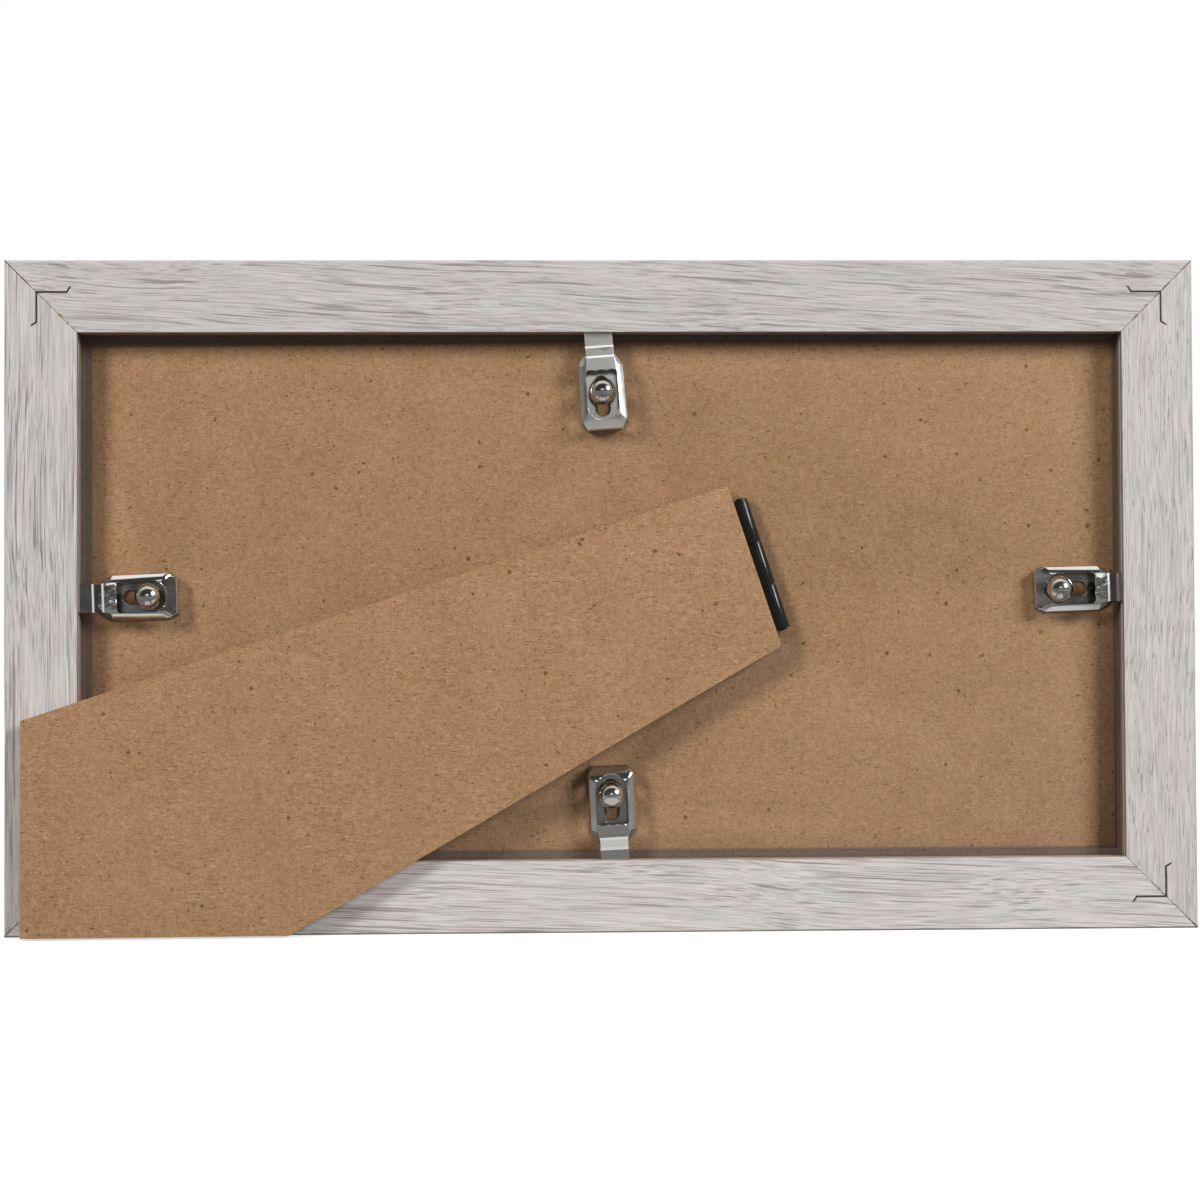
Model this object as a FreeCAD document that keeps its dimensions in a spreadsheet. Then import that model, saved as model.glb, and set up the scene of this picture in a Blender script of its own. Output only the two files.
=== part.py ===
"""Small landscape picture frame seen from behind: four mitred rails, a backboard held by
four sliding spring clips, and an easel strut on a steel hinge.

Millimetres. +X runs to the right as seen from behind, +Y from the back to the front,
+Z up. The origin is the middle of the bottom face of the bottom rail.
"""

import FreeCAD, Part
import os
import re
import Sketcher

Vector = FreeCAD.Vector
Rotation = FreeCAD.Rotation

# Driving sizes, in millimetres and degrees.
SIZES = {
    # Opening between the rails as seen from behind, cut for a 200 by 100 print.
    "opening_width": 206.0,
    "opening_height": 104.0,
    # Rails: one moulding, mitred at its ends.
    "rail_width": 14.2,
    "rail_depth": 14.0,
    "lip_reach": 5.0,
    "back_ease": 0.35,
    "front_ease": 1.0,
    "recess_depth": 5.0,
    "kerf_drop": 1.2,
    "kerf_width": 0.9,
    "kerf_depth": 4.3,
    # V-nails across the mitres, flush with the back.
    "nail_inset": 6.3,
    "nail_leg": 5.8,
    "nail_gauge": 0.4,
    "nail_hook_run": 0.6,
    "nail_hook_rise": 0.9,
    "nail_height": 8.0,
    # What lies in the rebate, from the back to the front.
    "board_thickness": 3.0,
    "board_gap_left": 0.95,
    "board_gap_right": 0.45,
    "board_gap_top": 1.2,
    "board_gap_bottom": 1.3,
    "sheet_thickness": 0.3,
    "glass_thickness": 2.0,
    "pane_play": 0.5,
    # Ball-headed rivets that hold the clips to the board.
    "ball_radius": 2.55,
    "ball_rise": 3.3,
    "neck_radius": 1.3,
    "shank_radius": 1.2,
    "burr_radius": 2.6,
    "burr_thickness": 0.5,
    "top_rivet_inset": 11.6,
    "top_rivet_shift": 0.0,
    "right_rivet_inset": 12.4,
    "right_rivet_shift": 0.95,
    "bottom_rivet_inset": 12.7,
    "bottom_rivet_shift": 1.4,
    "left_rivet_inset": 13.6,
    "left_rivet_shift": 0.2,
    # Clips: one folded strip each. Lengths along a clip count from its window's tongue end.
    "clip_gauge": 0.5,
    "clip_width": 9.0,
    "plate_width": 7.0,
    "shoulder_width": 6.4,
    "flange_run": 1.0,
    "shoulder_flange_run": 0.7,
    "foot_width": 7.4,
    "plate_rise": 4.5,
    "plate_length": 2.75,
    "shoulder_length": 1.4,
    "fold_back": 9.0,
    "fold_run": 2.4,
    "fold_lap": 1.5,
    "joggle_run": 2.2,
    "tongue_play": 0.2,
    "tongue_width": 5.6,
    "tongue_reach": 8.7,
    "flange_drop": 1.3,
    "window_width": 6.3,
    "window_length": 9.6,
    "layer_split": 1.2,
    "sole_reach": 4.9,
    "slot_width": 3.0,
    "slot_start": 0.5,
    "slot_length": 8.1,
    "slide_gap": 0.1,
    # How far each clip stands out from its drawn-back stop, and how it is turned.
    "top_clip_out": 1.3,
    "top_clip_turn": 4.0,
    "right_clip_out": 4.1,
    "right_clip_turn": 1.5,
    "bottom_clip_out": 3.0,
    "bottom_clip_turn": 3.0,
    "left_clip_out": 3.2,
    "left_clip_turn": 2.0,
    # Hinge: its axis lies along the board and leans over to the left.
    "hinge_shift": 31.4,
    "hinge_inset": 58.1,
    "axis_lean": 18.3,
    "axis_height": 1.6,
    "barrel_radius": 1.5,
    "barrel_length": 26.9,
    "knuckle_gap": 0.2,
    "knuckle_notch": 1.8,
    "tab_start": 1.1,
    "bore_radius": 0.8,
    "pin_play": 0.05,
    "pin_length": 27.5,
    "leaf_gauge": 0.6,
    "leaf_reach": 15.0,
    "board_rivet_reach": 9.0,
    "board_rivet_spread": 4.5,
    "board_rivet_radius": 1.0,
    "board_rivet_head": 2.0,
    "board_rivet_head_rise": 0.5,
    "strut_nail_reach": 11.5,
    "strut_nail_spread": 9.5,
    "strut_nail_radius": 0.6,
    "strut_nail_head": 1.5,
    "strut_nail_head_rise": 0.3,
    "strut_nail_bite": 2.2,
    # Strut: its foot is cut along the frame's bottom and along its left side.
    "strut_thickness": 3.0,
    "strut_seat": 0.3,
    "strut_start": 1.75,
    "strut_high_side": 16.8,
    "strut_low_side": 16.5,
    "foot_inset": 4.2,
    "foot_clear": 0.35,
    "strut_foot_width": 51.4,
    "corner_round": 0.8,
    "rest_gap": 0.06,
    # How far a cut runs past what it cuts.
    "overrun": 1.0,
}

# Lengths and places that follow from the driving sizes.
DERIVED = {
    "half_depth": "rail_depth / 2",
    "outer_width": "opening_width + 2 * rail_width",
    "outer_height": "opening_height + 2 * rail_width",
    "rebate_depth": "recess_depth + board_thickness + sheet_thickness + glass_thickness",
    "board_face": "recess_depth - rail_depth / 2",
    "tongue_rise": "recess_depth - kerf_drop - tongue_play",
    "fold_foot": "fold_back + fold_run",
    "fold_skin": "clip_gauge * sqrt(fold_run * fold_run + plate_rise * plate_rise) / plate_rise",
    "shoulder_start": "plate_length - shoulder_length",
    "taper_share": "fold_run / (fold_back + shoulder_start)",
    "back_width": "plate_width + taper_share * (plate_width - shoulder_width)",
    "back_flange_run": "flange_run + taper_share * (flange_run - shoulder_flange_run)",
    "flange_skin": "clip_gauge * sqrt(flange_run * flange_run + flange_drop * flange_drop) / flange_drop",
    "knuckle_start": "barrel_length / 6 + knuckle_gap / 2",
    "knuckle_length": "barrel_length / 2 - knuckle_start",
    "tab_half": "barrel_length / 6 - knuckle_gap / 2",
    "hinge_height": "rail_width + hinge_inset",
    "foot_across": "outer_width / 2 - foot_inset + hinge_shift",
    "foot_down": "hinge_height - foot_clear",
    "toe_x": "foot_across * cos(axis_lean) + foot_down * sin(axis_lean)",
    "toe_y": "foot_down * cos(axis_lean) - foot_across * sin(axis_lean)",
    "foot_side": "(toe_y + strut_high_side) / cos(axis_lean)",
    "heel_x": "toe_x - strut_foot_width * cos(axis_lean)",
    "heel_y": "toe_y + strut_foot_width * sin(axis_lean)",
    "low_end_height": "hinge_height - strut_start * sin(axis_lean) - strut_low_side * cos(axis_lean)",
    "crossing_share": "(low_end_height - rail_width) / (low_end_height - foot_clear)",
    "crossing_x": "strut_start + crossing_share * (heel_x - strut_start)",
    "resting_rise": "recess_depth - axis_height - strut_seat + rest_gap",
    "closed_tilt": "atan(resting_rise / crossing_x)",
}

doc = FreeCAD.newDocument("picture_frame")


def make_sizes():
    """Write the driving sizes into the sheet, one alias a row."""
    sheet = doc.addObject("Spreadsheet::Sheet", "Sizes")
    for row, (name, number) in enumerate(SIZES.items(), start=1):
        sheet.set(f"A{row}", name)
        sheet.set(f"B{row}", str(number))
        sheet.setAlias(f"B{row}", name)
    doc.recompute()
    return sheet


def bound(formula):
    """Point each size named in a formula at the sheet or at the derived values."""
    def reference(match):
        word = match.group(0)
        if word in SIZES:
            return "Sizes." + word
        if word in DERIVED:
            return "Layout." + word
        return word
    return re.sub(r"[a-z_]+", reference, formula)


def make_layout():
    """Keep the derived values as live formulas on the sheet."""
    derived = doc.addObject("App::VarSet", "Layout")
    for name, formula in DERIVED.items():
        kind = "App::PropertyAngle" if name == "closed_tilt" else "App::PropertyFloat"
        derived.addProperty(kind, name, "Derived")
        derived.setExpression(name, bound(formula))
        doc.recompute()
    return derived


sizes = make_sizes()
layout = make_layout()
layout.addProperty("App::PropertyFloat", "result", "Working")


def value(formula):
    """Read what a formula on the sheet comes to."""
    layout.setExpression("result", bound(formula))
    layout.recompute()
    return layout.result


def bind(item, **formulas):
    """Bind properties of an object to formulas on the sheet."""
    for name, formula in formulas.items():
        item.setExpression(name, bound(formula))


def place(item, x=0.0, y=0.0, z=0.0, turn=None):
    item.Placement = FreeCAD.Placement(Vector(x, y, z), turn or Rotation())


def new_body(name):
    return doc.addObject("PartDesign::Body", name)


def new_sketch(body, role, rise="0"):
    """A sketch on one of a body's own planes, raised along the plane's normal."""
    sketch = body.newObject("Sketcher::SketchObject", body.Name + "_sketch")
    plane = next(item for item in body.Origin.OriginFeatures if item.Role == role)
    sketch.AttachmentSupport = (plane, [""])
    sketch.MapMode = "FlatFace"
    sketch.setExpression("AttachmentOffset.Base.z", bound(rise))
    return sketch


def fix_number(sketch, kind, formula, *geometry):
    """Add one constraint whose number follows a formula."""
    index = sketch.addConstraint(Sketcher.Constraint(kind, *geometry, value(formula)))
    sketch.setExpression(f"Constraints[{index}]", bound(formula))


def fix_point(sketch, line, end, across, up):
    """Hold one end of a line at two formulas from the sketch's origin."""
    fix_number(sketch, "DistanceX", across, -1, 1, line, end)
    fix_number(sketch, "DistanceY", up, -1, 1, line, end)


def draw_outline(sketch, points):
    """A closed outline of straight lines through points given as pairs of formulas."""
    first = sketch.GeometryCount
    count = len(points)
    corners = [Vector(value(across), value(up), 0) for across, up in points]
    for start, end in zip(corners, corners[1:] + corners[:1]):
        sketch.addGeometry(Part.LineSegment(start, end))
    for index, (across, up) in enumerate(points):
        previous = first + (index - 1) % count
        sketch.addConstraint(Sketcher.Constraint("Coincident", previous, 2, first + index, 1))
        fix_point(sketch, first + index, 1, across, up)


def draw_ring(sketch, *radii):
    """Circles about the sketch's origin."""
    for radius in radii:
        circle = sketch.addGeometry(Part.Circle(Vector(), Vector(0, 0, 1), value(radius)))
        sketch.addConstraint(Sketcher.Constraint("Coincident", circle, 3, -1, 1))
        fix_number(sketch, "Radius", radius, circle)


def draw_bar(sketch, low, high, width, round_low=True, round_high=True):
    """A bar along the sketch's first axis, with half-round or square ends."""
    half = f"({width}) / 2"
    left = f"{low} + {half}" if round_low else low
    right = f"{high} - {half}" if round_high else high
    x_low, x_high, radius = value(left), value(right), value(half)
    under = sketch.addGeometry(Part.LineSegment(Vector(x_low, -radius, 0), Vector(x_high, -radius, 0)))
    over = sketch.addGeometry(Part.LineSegment(Vector(x_high, radius, 0), Vector(x_low, radius, 0)))
    fix_point(sketch, under, 1, left, f"-{half}")
    fix_point(sketch, under, 2, right, f"-{half}")
    fix_point(sketch, over, 1, right, half)
    fix_point(sketch, over, 2, left, half)
    ends = (
        (right, round_high, under, over, Vector(x_high, -radius, 0), Vector(x_high + radius, 0, 0)),
        (left, round_low, over, under, Vector(x_low, radius, 0), Vector(x_low - radius, 0, 0)),
    )
    for across, is_round, before, after, start, crown in ends:
        end = Vector(start.x, -start.y, 0)
        if is_round:
            edge = sketch.addGeometry(Part.Arc(start, crown, end))
            sketch.addConstraint(Sketcher.Constraint("Coincident", before, 2, edge, 1))
            sketch.addConstraint(Sketcher.Constraint("Coincident", edge, 2, after, 1))
            fix_number(sketch, "DistanceX", across, -1, 1, edge, 3)
        else:
            edge = sketch.addGeometry(Part.LineSegment(start, end))
            sketch.addConstraint(Sketcher.Constraint("Coincident", before, 2, edge, 1))
            sketch.addConstraint(Sketcher.Constraint("Coincident", edge, 2, after, 1))


def pad(body, sketch, length, centred=False):
    feature = body.newObject("PartDesign::Pad", body.Name + "_pad")
    feature.Profile = sketch
    feature.SideType = "Symmetric" if centred else "One side"
    bind(feature, Length=length)
    return feature


def pocket(body, sketch, length, centred=False):
    """Cut away from the sketch against its normal, or both ways."""
    feature = body.newObject("PartDesign::Pocket", body.Name + "_pocket")
    feature.Profile = sketch
    feature.SideType = "Symmetric" if centred else "One side"
    bind(feature, Length=length)
    return feature


def loft(body, sections):
    """A straight-sided solid from one sketch to the next."""
    feature = body.newObject("PartDesign::AdditiveLoft", body.Name + "_loft")
    feature.Profile = sections[0]
    feature.Sections = sections[1:]
    feature.Ruled = True
    return feature


def cylinder(name, radius, height, placement, start=0.0):
    """A round bar along the third axis of a placement, from a height on that axis."""
    item = doc.addObject("Part::Cylinder", name)
    bind(item, Radius=radius, Height=height)
    item.Placement = placement.multiply(FreeCAD.Placement(Vector(0, 0, start), Rotation()))
    return item


def fuse(name, items):
    item = doc.addObject("Part::MultiFuse", name)
    item.Shapes = items
    return item


def group(name, items):
    """Separate solids that share one node."""
    item = doc.addObject("Part::Compound", name)
    item.Links = items
    return item


def cut(name, base, tool):
    """Take the room of one piece out of another."""
    item = doc.addObject("Part::Cut", name)
    item.Base = base
    item.Tool = tool
    return item


def make_rail(name, length):
    """One mitred rail: length along X, back at -Y, outer edge at Z zero."""
    body = new_body(name + "_moulding")
    profile = new_sketch(body, "YZ_Plane")
    kerf_back = "kerf_drop - half_depth"
    kerf_front = "kerf_drop + kerf_width - half_depth"
    rebate_front = "rebate_depth - half_depth"
    draw_outline(profile, (
        ("back_ease - half_depth", "0"),
        ("-half_depth", "back_ease"),
        ("-half_depth", "rail_width"),
        (kerf_back, "rail_width"),
        (kerf_back, "rail_width - kerf_depth"),
        (kerf_front, "rail_width - kerf_depth"),
        (kerf_front, "rail_width"),
        (rebate_front, "rail_width"),
        (rebate_front, "rail_width + lip_reach"),
        ("half_depth - front_ease", "rail_width + lip_reach"),
        ("half_depth", "rail_width + lip_reach - front_ease"),
        ("half_depth", "front_ease"),
        ("half_depth - front_ease", "0"),
    ))
    pad(body, profile, length, centred=True)
    mitres = new_sketch(body, "XZ_Plane")
    past = f"{length} / 2 + overrun"
    inner = "rail_width + lip_reach + overrun"
    for sign in ("", "-"):
        draw_outline(mitres, (
            (f"{sign}({past})", "-overrun"),
            (f"{sign}({past})", inner),
            (f"{sign}({length} / 2 - ({inner}))", inner),
        ))
    pocket(body, mitres, "rail_depth + 2 * overrun", centred=True)
    return body


def make_rails(nails):
    """The four rails, each with the V-nails let into its ends."""
    half_width = value("outer_width") / 2
    height = value("outer_height")
    sides = {
        "bottom_rail": ("outer_width", 0.0, 0.0, 0),
        "top_rail": ("outer_width", 0.0, height, 180),
        "left_rail": ("outer_height", -half_width, height / 2, 90),
        "right_rail": ("outer_height", half_width, height / 2, -90),
    }
    rails = {}
    for name, (length, x, z, angle) in sides.items():
        moulding = make_rail(name, length)
        place(moulding, x=x, z=z, turn=Rotation(Vector(0, 1, 0), angle))
        rails[name] = cut(name, moulding, nails)
    return rails


def make_corner_nails():
    """A V of bent strip across each mitre, its legs along the rails and hooked outwards."""
    sketch = doc.addObject("Sketcher::SketchObject", "corner_nail_outlines")
    place(sketch, y=-value("half_depth"), turn=Rotation(Vector(1, 0, 0), 90))
    near = "nail_inset - nail_gauge / 2"
    far = "nail_inset + nail_gauge / 2"
    leg = "nail_inset + nail_leg"
    tip = f"{leg} + nail_hook_run"
    hook = f"{near} - nail_hook_rise"
    outline = (
        (near, near),
        (leg, near),
        (tip, hook),
        (f"{tip} + nail_gauge", hook),
        (f"{leg} + nail_gauge / 2", far),
        (far, far),
        (far, f"{leg} + nail_gauge / 2"),
        (hook, f"{tip} + nail_gauge"),
        (hook, tip),
        (near, leg),
    )
    for side in ("", "-"):
        for level in ("", "-"):
            points = [
                (f"{side}(outer_width / 2 - ({p}))", f"outer_height / 2 {level or '+'} (outer_height / 2 - ({q}))")
                for p, q in outline
            ]
            draw_outline(sketch, points)
    nails = doc.addObject("Part::Extrusion", "corner_v_nails")
    nails.Base = sketch
    nails.DirMode = "Custom"
    nails.Dir = Vector(0, 1, 0)
    nails.Solid = True
    bind(nails, LengthFwd="nail_height")
    return nails


def make_slab(name, width, thickness, height, back, low_x, low_z):
    """A flat piece in the rebate, from its lower left corner at the back."""
    slab = doc.addObject("Part::Box", name)
    bind(slab, Length=width, Width=thickness, Height=height)
    place(slab, x=low_x, y=back, z=low_z)
    return slab


def make_panes():
    """The glass and the picture sheet behind it."""
    low_x = value("pane_play") - value("opening_width") / 2
    low_z = value("rail_width") + value("pane_play")
    sheet_back = value("board_face") + value("board_thickness")
    glass_back = sheet_back + value("sheet_thickness")
    width = "opening_width - 2 * pane_play"
    height = "opening_height - 2 * pane_play"
    glass = make_slab("glass_pane", width, "glass_thickness", height, glass_back, low_x, low_z)
    sheet = make_slab("picture_sheet", width, "sheet_thickness", height, sheet_back, low_x, low_z)
    return {"glass_pane": glass, "picture_sheet": sheet}


def outwards(side):
    """The way a clip's tongue points, before the clip is turned."""
    directions = {"top": (0, 1), "right": (1, 0), "bottom": (0, -1), "left": (-1, 0)}
    across, up = directions[side]
    return Vector(across, 0, up)


def rivet_placement(side):
    """The rivet's foot on the board, with X towards the rail and Z off the board."""
    tongue_way = outwards(side)
    off_board = Vector(0, -1, 0)
    inset = value(f"{side}_rivet_inset")
    shift = value(f"{side}_rivet_shift")
    reach_x = value("opening_width") / 2 - inset
    reach_z = value("opening_height") / 2 - inset
    along = Vector(tongue_way.x * reach_x, 0, tongue_way.z * reach_z)
    sideways = Vector(abs(tongue_way.z) * shift, 0, abs(tongue_way.x) * shift)
    middle = Vector(0, value("board_face"), value("outer_height") / 2)
    turn = Rotation(tongue_way, off_board.cross(tongue_way), off_board, "XZY")
    return FreeCAD.Placement(middle + along + sideways, turn)


def make_clip_rivet(side):
    """Ball, neck, shank and the burr that is let into the board's inner face."""
    foot = rivet_placement(side)
    name = f"{side}_rivet"
    ball = doc.addObject("Part::Sphere", name + "_ball")
    bind(ball, Radius="ball_radius")
    ball.Placement = foot.multiply(FreeCAD.Placement(Vector(0, 0, value("ball_rise")), Rotation()))
    inner_face = -value("board_thickness")
    neck = cylinder(name + "_neck", "neck_radius", "ball_rise", foot)
    shank = cylinder(name + "_shank", "shank_radius", "board_thickness", foot, inner_face)
    burr = cylinder(name + "_burr", "burr_radius", "burr_thickness", foot, inner_face)
    return fuse(name, [ball, neck, shank, burr])


def flange_end(body, sign, at, plate, run):
    """One flange's section across the clip: a strip that slopes down and out from the plate."""
    section = new_sketch(body, "YZ_Plane", at)
    draw_outline(section, (
        (f"{sign}({plate} / 2)", "plate_rise"),
        (f"{sign}({plate} / 2 + {run})", "plate_rise - flange_drop"),
        (f"{sign}({plate} / 2 + {run} - flange_skin)", "plate_rise - flange_drop"),
        (f"{sign}({plate} / 2 - flange_skin)", "plate_rise"),
    ))
    return section


def make_clip(side):
    """One clip folded from a strip: sole, sloping fold, plate with a window, joggle and tongue."""
    body = new_body(f"{side}_clip")

    strip = new_sketch(body, "XZ_Plane")
    joggle_end = "plate_length + joggle_run"
    draw_outline(strip, (
        ("-fold_foot", "0"),
        ("fold_lap - fold_back", "0"),
        ("fold_lap - fold_back", "clip_gauge"),
        ("fold_skin + fold_run * clip_gauge / plate_rise - fold_foot", "clip_gauge"),
        ("fold_skin - fold_run * clip_gauge / plate_rise - fold_back", "plate_rise - clip_gauge"),
        ("plate_length", "plate_rise - clip_gauge"),
        (joggle_end, "tongue_rise - clip_gauge"),
        ("tongue_reach", "tongue_rise - clip_gauge"),
        ("tongue_reach", "tongue_rise"),
        (joggle_end, "tongue_rise"),
        ("plate_length", "plate_rise"),
        ("-fold_back", "plate_rise"),
    ))
    pad(body, strip, "plate_width", centred=True)

    sole = new_sketch(body, "XY_Plane")
    draw_bar(sole, "-fold_back", "sole_reach", "clip_width", round_low=False)
    pad(body, sole, "clip_gauge")

    above = "plate_rise + overrun"
    upper_cut = "plate_rise + overrun - layer_split"
    edges = new_sketch(body, "XY_Plane", above)
    for sign in ("", "-"):
        draw_outline(edges, (
            ("-fold_back", f"{sign}(plate_width / 2)"),
            ("shoulder_start", f"{sign}(shoulder_width / 2)"),
            ("plate_length", f"{sign}(tongue_width / 2)"),
            ("tongue_reach + overrun", f"{sign}(tongue_width / 2)"),
            ("tongue_reach + overrun", f"{sign}(clip_width / 2 + overrun)"),
            ("-fold_back", f"{sign}(clip_width / 2 + overrun)"),
        ))
    pocket(body, edges, upper_cut)

    fold = new_sketch(body, "XZ_Plane")
    draw_outline(fold, (
        ("-fold_foot", "0"),
        ("fold_skin - fold_foot", "0"),
        ("fold_skin - fold_back", "plate_rise"),
        ("-fold_back", "plate_rise"),
    ))
    pad(body, fold, "plate_width + 2 * flange_run", centred=True)
    for sign in ("", "-"):
        ends = (("shoulder_start", "shoulder_width", "shoulder_flange_run"), ("-fold_foot", "back_width", "back_flange_run"))
        loft(body, [flange_end(body, sign, *end) for end in ends])

    corners = new_sketch(body, "YZ_Plane", "-fold_back")
    for sign in ("", "-"):
        draw_outline(corners, (
            (f"{sign}(plate_width / 2)", "plate_rise"),
            (f"{sign}(plate_width / 2 + flange_run)", "plate_rise - flange_drop"),
            (f"{sign}(foot_width / 2)", "0"),
            (f"{sign}(foot_width / 2)", "-overrun"),
            (f"{sign}(clip_width / 2 + overrun)", "-overrun"),
            (f"{sign}(clip_width / 2 + overrun)", "plate_rise + overrun"),
            (f"{sign}(plate_width / 2)", "plate_rise + overrun"),
        ))
    pocket(body, corners, "fold_run + overrun")
    behind = new_sketch(body, "XZ_Plane")
    draw_outline(behind, (
        ("-fold_back", "plate_rise"),
        ("-fold_foot", "0"),
        ("-fold_foot - overrun", "0"),
        ("-fold_foot - overrun", "plate_rise"),
    ))
    pocket(body, behind, "clip_width + overrun", centred=True)

    window = new_sketch(body, "XY_Plane", above)
    draw_bar(window, "-window_length", "0", "window_width", round_high=False)
    pocket(body, window, upper_cut)

    slot = new_sketch(body, "XY_Plane", "layer_split")
    draw_bar(slot, "-slot_start - slot_length", "-slot_start", "slot_width")
    pocket(body, slot, "layer_split + overrun")

    out = value("ball_radius") + value("slide_gap") + value(f"{side}_clip_out")
    turned = FreeCAD.Placement(Vector(), Rotation(Vector(0, 0, 1), value(f"{side}_clip_turn")))
    pushed = FreeCAD.Placement(Vector(out, 0, 0), Rotation())
    body.Placement = rivet_placement(side).multiply(turned).multiply(pushed)
    return body


def hinge_placement():
    """The middle of the hinge axis: X along the closed strut, Y down the axis, Z off the board."""
    upright = Rotation(Vector(-1, 0, 0), Vector(0, 0, -1), Vector(0, -1, 0), "XZY")
    lean = Rotation(Vector(0, 0, 1), value("axis_lean"))
    middle = Vector(value("hinge_shift"), value("board_face") - value("axis_height"), value("hinge_height"))
    return FreeCAD.Placement(middle, upright.multiply(lean))


def strut_placement():
    """The same place, tilted so that the closed strut rests on the bottom rail."""
    tilt = Rotation(Vector(0, -1, 0), value("closed_tilt"))
    return hinge_placement().multiply(FreeCAD.Placement(Vector(), tilt))


def make_knuckle(body, start, length):
    """A curl of the leaf round the pin, from a height along the hinge's axis."""
    ring = new_sketch(body, "XZ_Plane", start)
    draw_ring(ring, "barrel_radius", "bore_radius")
    pad(body, ring, length)


def make_board_leaf():
    """The leaf on the board, with the two outer knuckles."""
    body = new_body("board_leaf_plate")
    plate = new_sketch(body, "XY_Plane", "-axis_height")
    draw_outline(plate, (
        ("0", "-barrel_length / 2"),
        ("0", "-knuckle_start"),
        ("knuckle_notch", "-knuckle_start"),
        ("knuckle_notch", "knuckle_start"),
        ("0", "knuckle_start"),
        ("0", "barrel_length / 2"),
        ("leaf_reach", "barrel_length / 2"),
        ("leaf_reach", "-barrel_length / 2"),
    ))
    pad(body, plate, "leaf_gauge")
    make_knuckle(body, "knuckle_start", "knuckle_length")
    make_knuckle(body, "-barrel_length / 2", "knuckle_length")
    body.Placement = hinge_placement()
    return body


def make_strut_leaf():
    """The leaf on the strut, with the middle knuckle."""
    body = new_body("strut_leaf_plate")
    plate = new_sketch(body, "XY_Plane", "strut_seat - leaf_gauge")
    draw_outline(plate, (
        ("knuckle_notch", "-barrel_length / 2"),
        ("knuckle_notch", "-tab_half"),
        ("tab_start", "-tab_half"),
        ("tab_start", "tab_half"),
        ("knuckle_notch", "tab_half"),
        ("knuckle_notch", "barrel_length / 2"),
        ("leaf_reach", "barrel_length / 2"),
        ("leaf_reach", "-barrel_length / 2"),
    ))
    pad(body, plate, "leaf_gauge")
    make_knuckle(body, "-tab_half", "2 * tab_half")
    body.Placement = strut_placement()
    return body


def make_board_rivets():
    """Two rivets through the leaf and the board."""
    leaf_top = value("leaf_gauge") - value("axis_height")
    board_inner = -value("axis_height") - value("board_thickness")
    rivets = []
    for number, sign in enumerate((-1, 1), start=1):
        spot = Vector(value("board_rivet_reach"), sign * value("board_rivet_spread"), 0)
        axis = hinge_placement().multiply(FreeCAD.Placement(spot, Rotation()))
        name = f"board_rivet_{number}"
        head = cylinder(name + "_head", "board_rivet_head", "board_rivet_head_rise", axis, leaf_top)
        length = "board_thickness + leaf_gauge"
        shank = cylinder(name + "_shank", "board_rivet_radius", length, axis, board_inner)
        burr = cylinder(name + "_burr", "board_rivet_head", "burr_thickness", axis, board_inner)
        rivets.append(fuse(name, [head, shank, burr]))
    return group("board_leaf_rivets", rivets)


def make_strut_nails():
    """Two short nails through the other leaf into the strut."""
    leaf_under = value("strut_seat") - value("leaf_gauge")
    head_under = leaf_under - value("strut_nail_head_rise")
    nails = []
    for number, sign in enumerate((-1, 1), start=1):
        spot = Vector(value("strut_nail_reach"), sign * value("strut_nail_spread"), 0)
        axis = strut_placement().multiply(FreeCAD.Placement(spot, Rotation()))
        name = f"strut_nail_{number}"
        head = cylinder(name + "_head", "strut_nail_head", "strut_nail_head_rise", axis, head_under)
        length = "leaf_gauge + strut_nail_bite"
        shank = cylinder(name + "_shank", "strut_nail_radius", length, axis, leaf_under)
        nails.append(fuse(name, [head, shank]))
    return group("strut_leaf_nails", nails)


def make_pin():
    axis = hinge_placement().multiply(FreeCAD.Placement(Vector(), Rotation(Vector(1, 0, 0), 90)))
    return cylinder("hinge_pin", "bore_radius - pin_play", "pin_length", axis, -value("pin_length") / 2)


def make_strut():
    """A board strip with a square end at the hinge and a foot cut for both ways of standing."""
    body = new_body("strut_board")
    outline = new_sketch(body, "XY_Plane", "strut_seat")
    draw_outline(outline, (
        ("strut_start", "-strut_high_side"),
        ("strut_start", "strut_low_side"),
        ("heel_x", "heel_y"),
        ("toe_x", "toe_y"),
        ("toe_x - foot_side * sin(axis_lean)", "-strut_high_side"),
    ))
    blank = pad(body, outline, "strut_thickness")
    doc.recompute()
    rounding = body.newObject("PartDesign::Fillet", "strut_corners")
    rounding.Base = (blank, hinge_end_corners(blank.Shape))
    bind(rounding, Radius="corner_round")
    body.Placement = strut_placement()
    return body


def hinge_end_corners(shape):
    """The two upright edges at the strut's hinge end."""
    start = value("strut_start")
    names = []
    for number, edge in enumerate(shape.Edges, start=1):
        at_end = all(abs(vertex.X - start) < value("rest_gap") for vertex in edge.Vertexes)
        low, high = (vertex.Z for vertex in edge.Vertexes)
        if at_end and abs(high - low) > value("strut_thickness") / 2:
            names.append(f"Edge{number}")
    return names


def make_backboard(fixings):
    low_x = value("board_gap_left") - value("opening_width") / 2
    low_z = value("rail_width") + value("board_gap_bottom")
    width = "opening_width - board_gap_left - board_gap_right"
    height = "opening_height - board_gap_top - board_gap_bottom"
    blank = make_slab("board_blank", width, "board_thickness", height, value("board_face"), low_x, low_z)
    return cut("backboard", blank, fixings)


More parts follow.
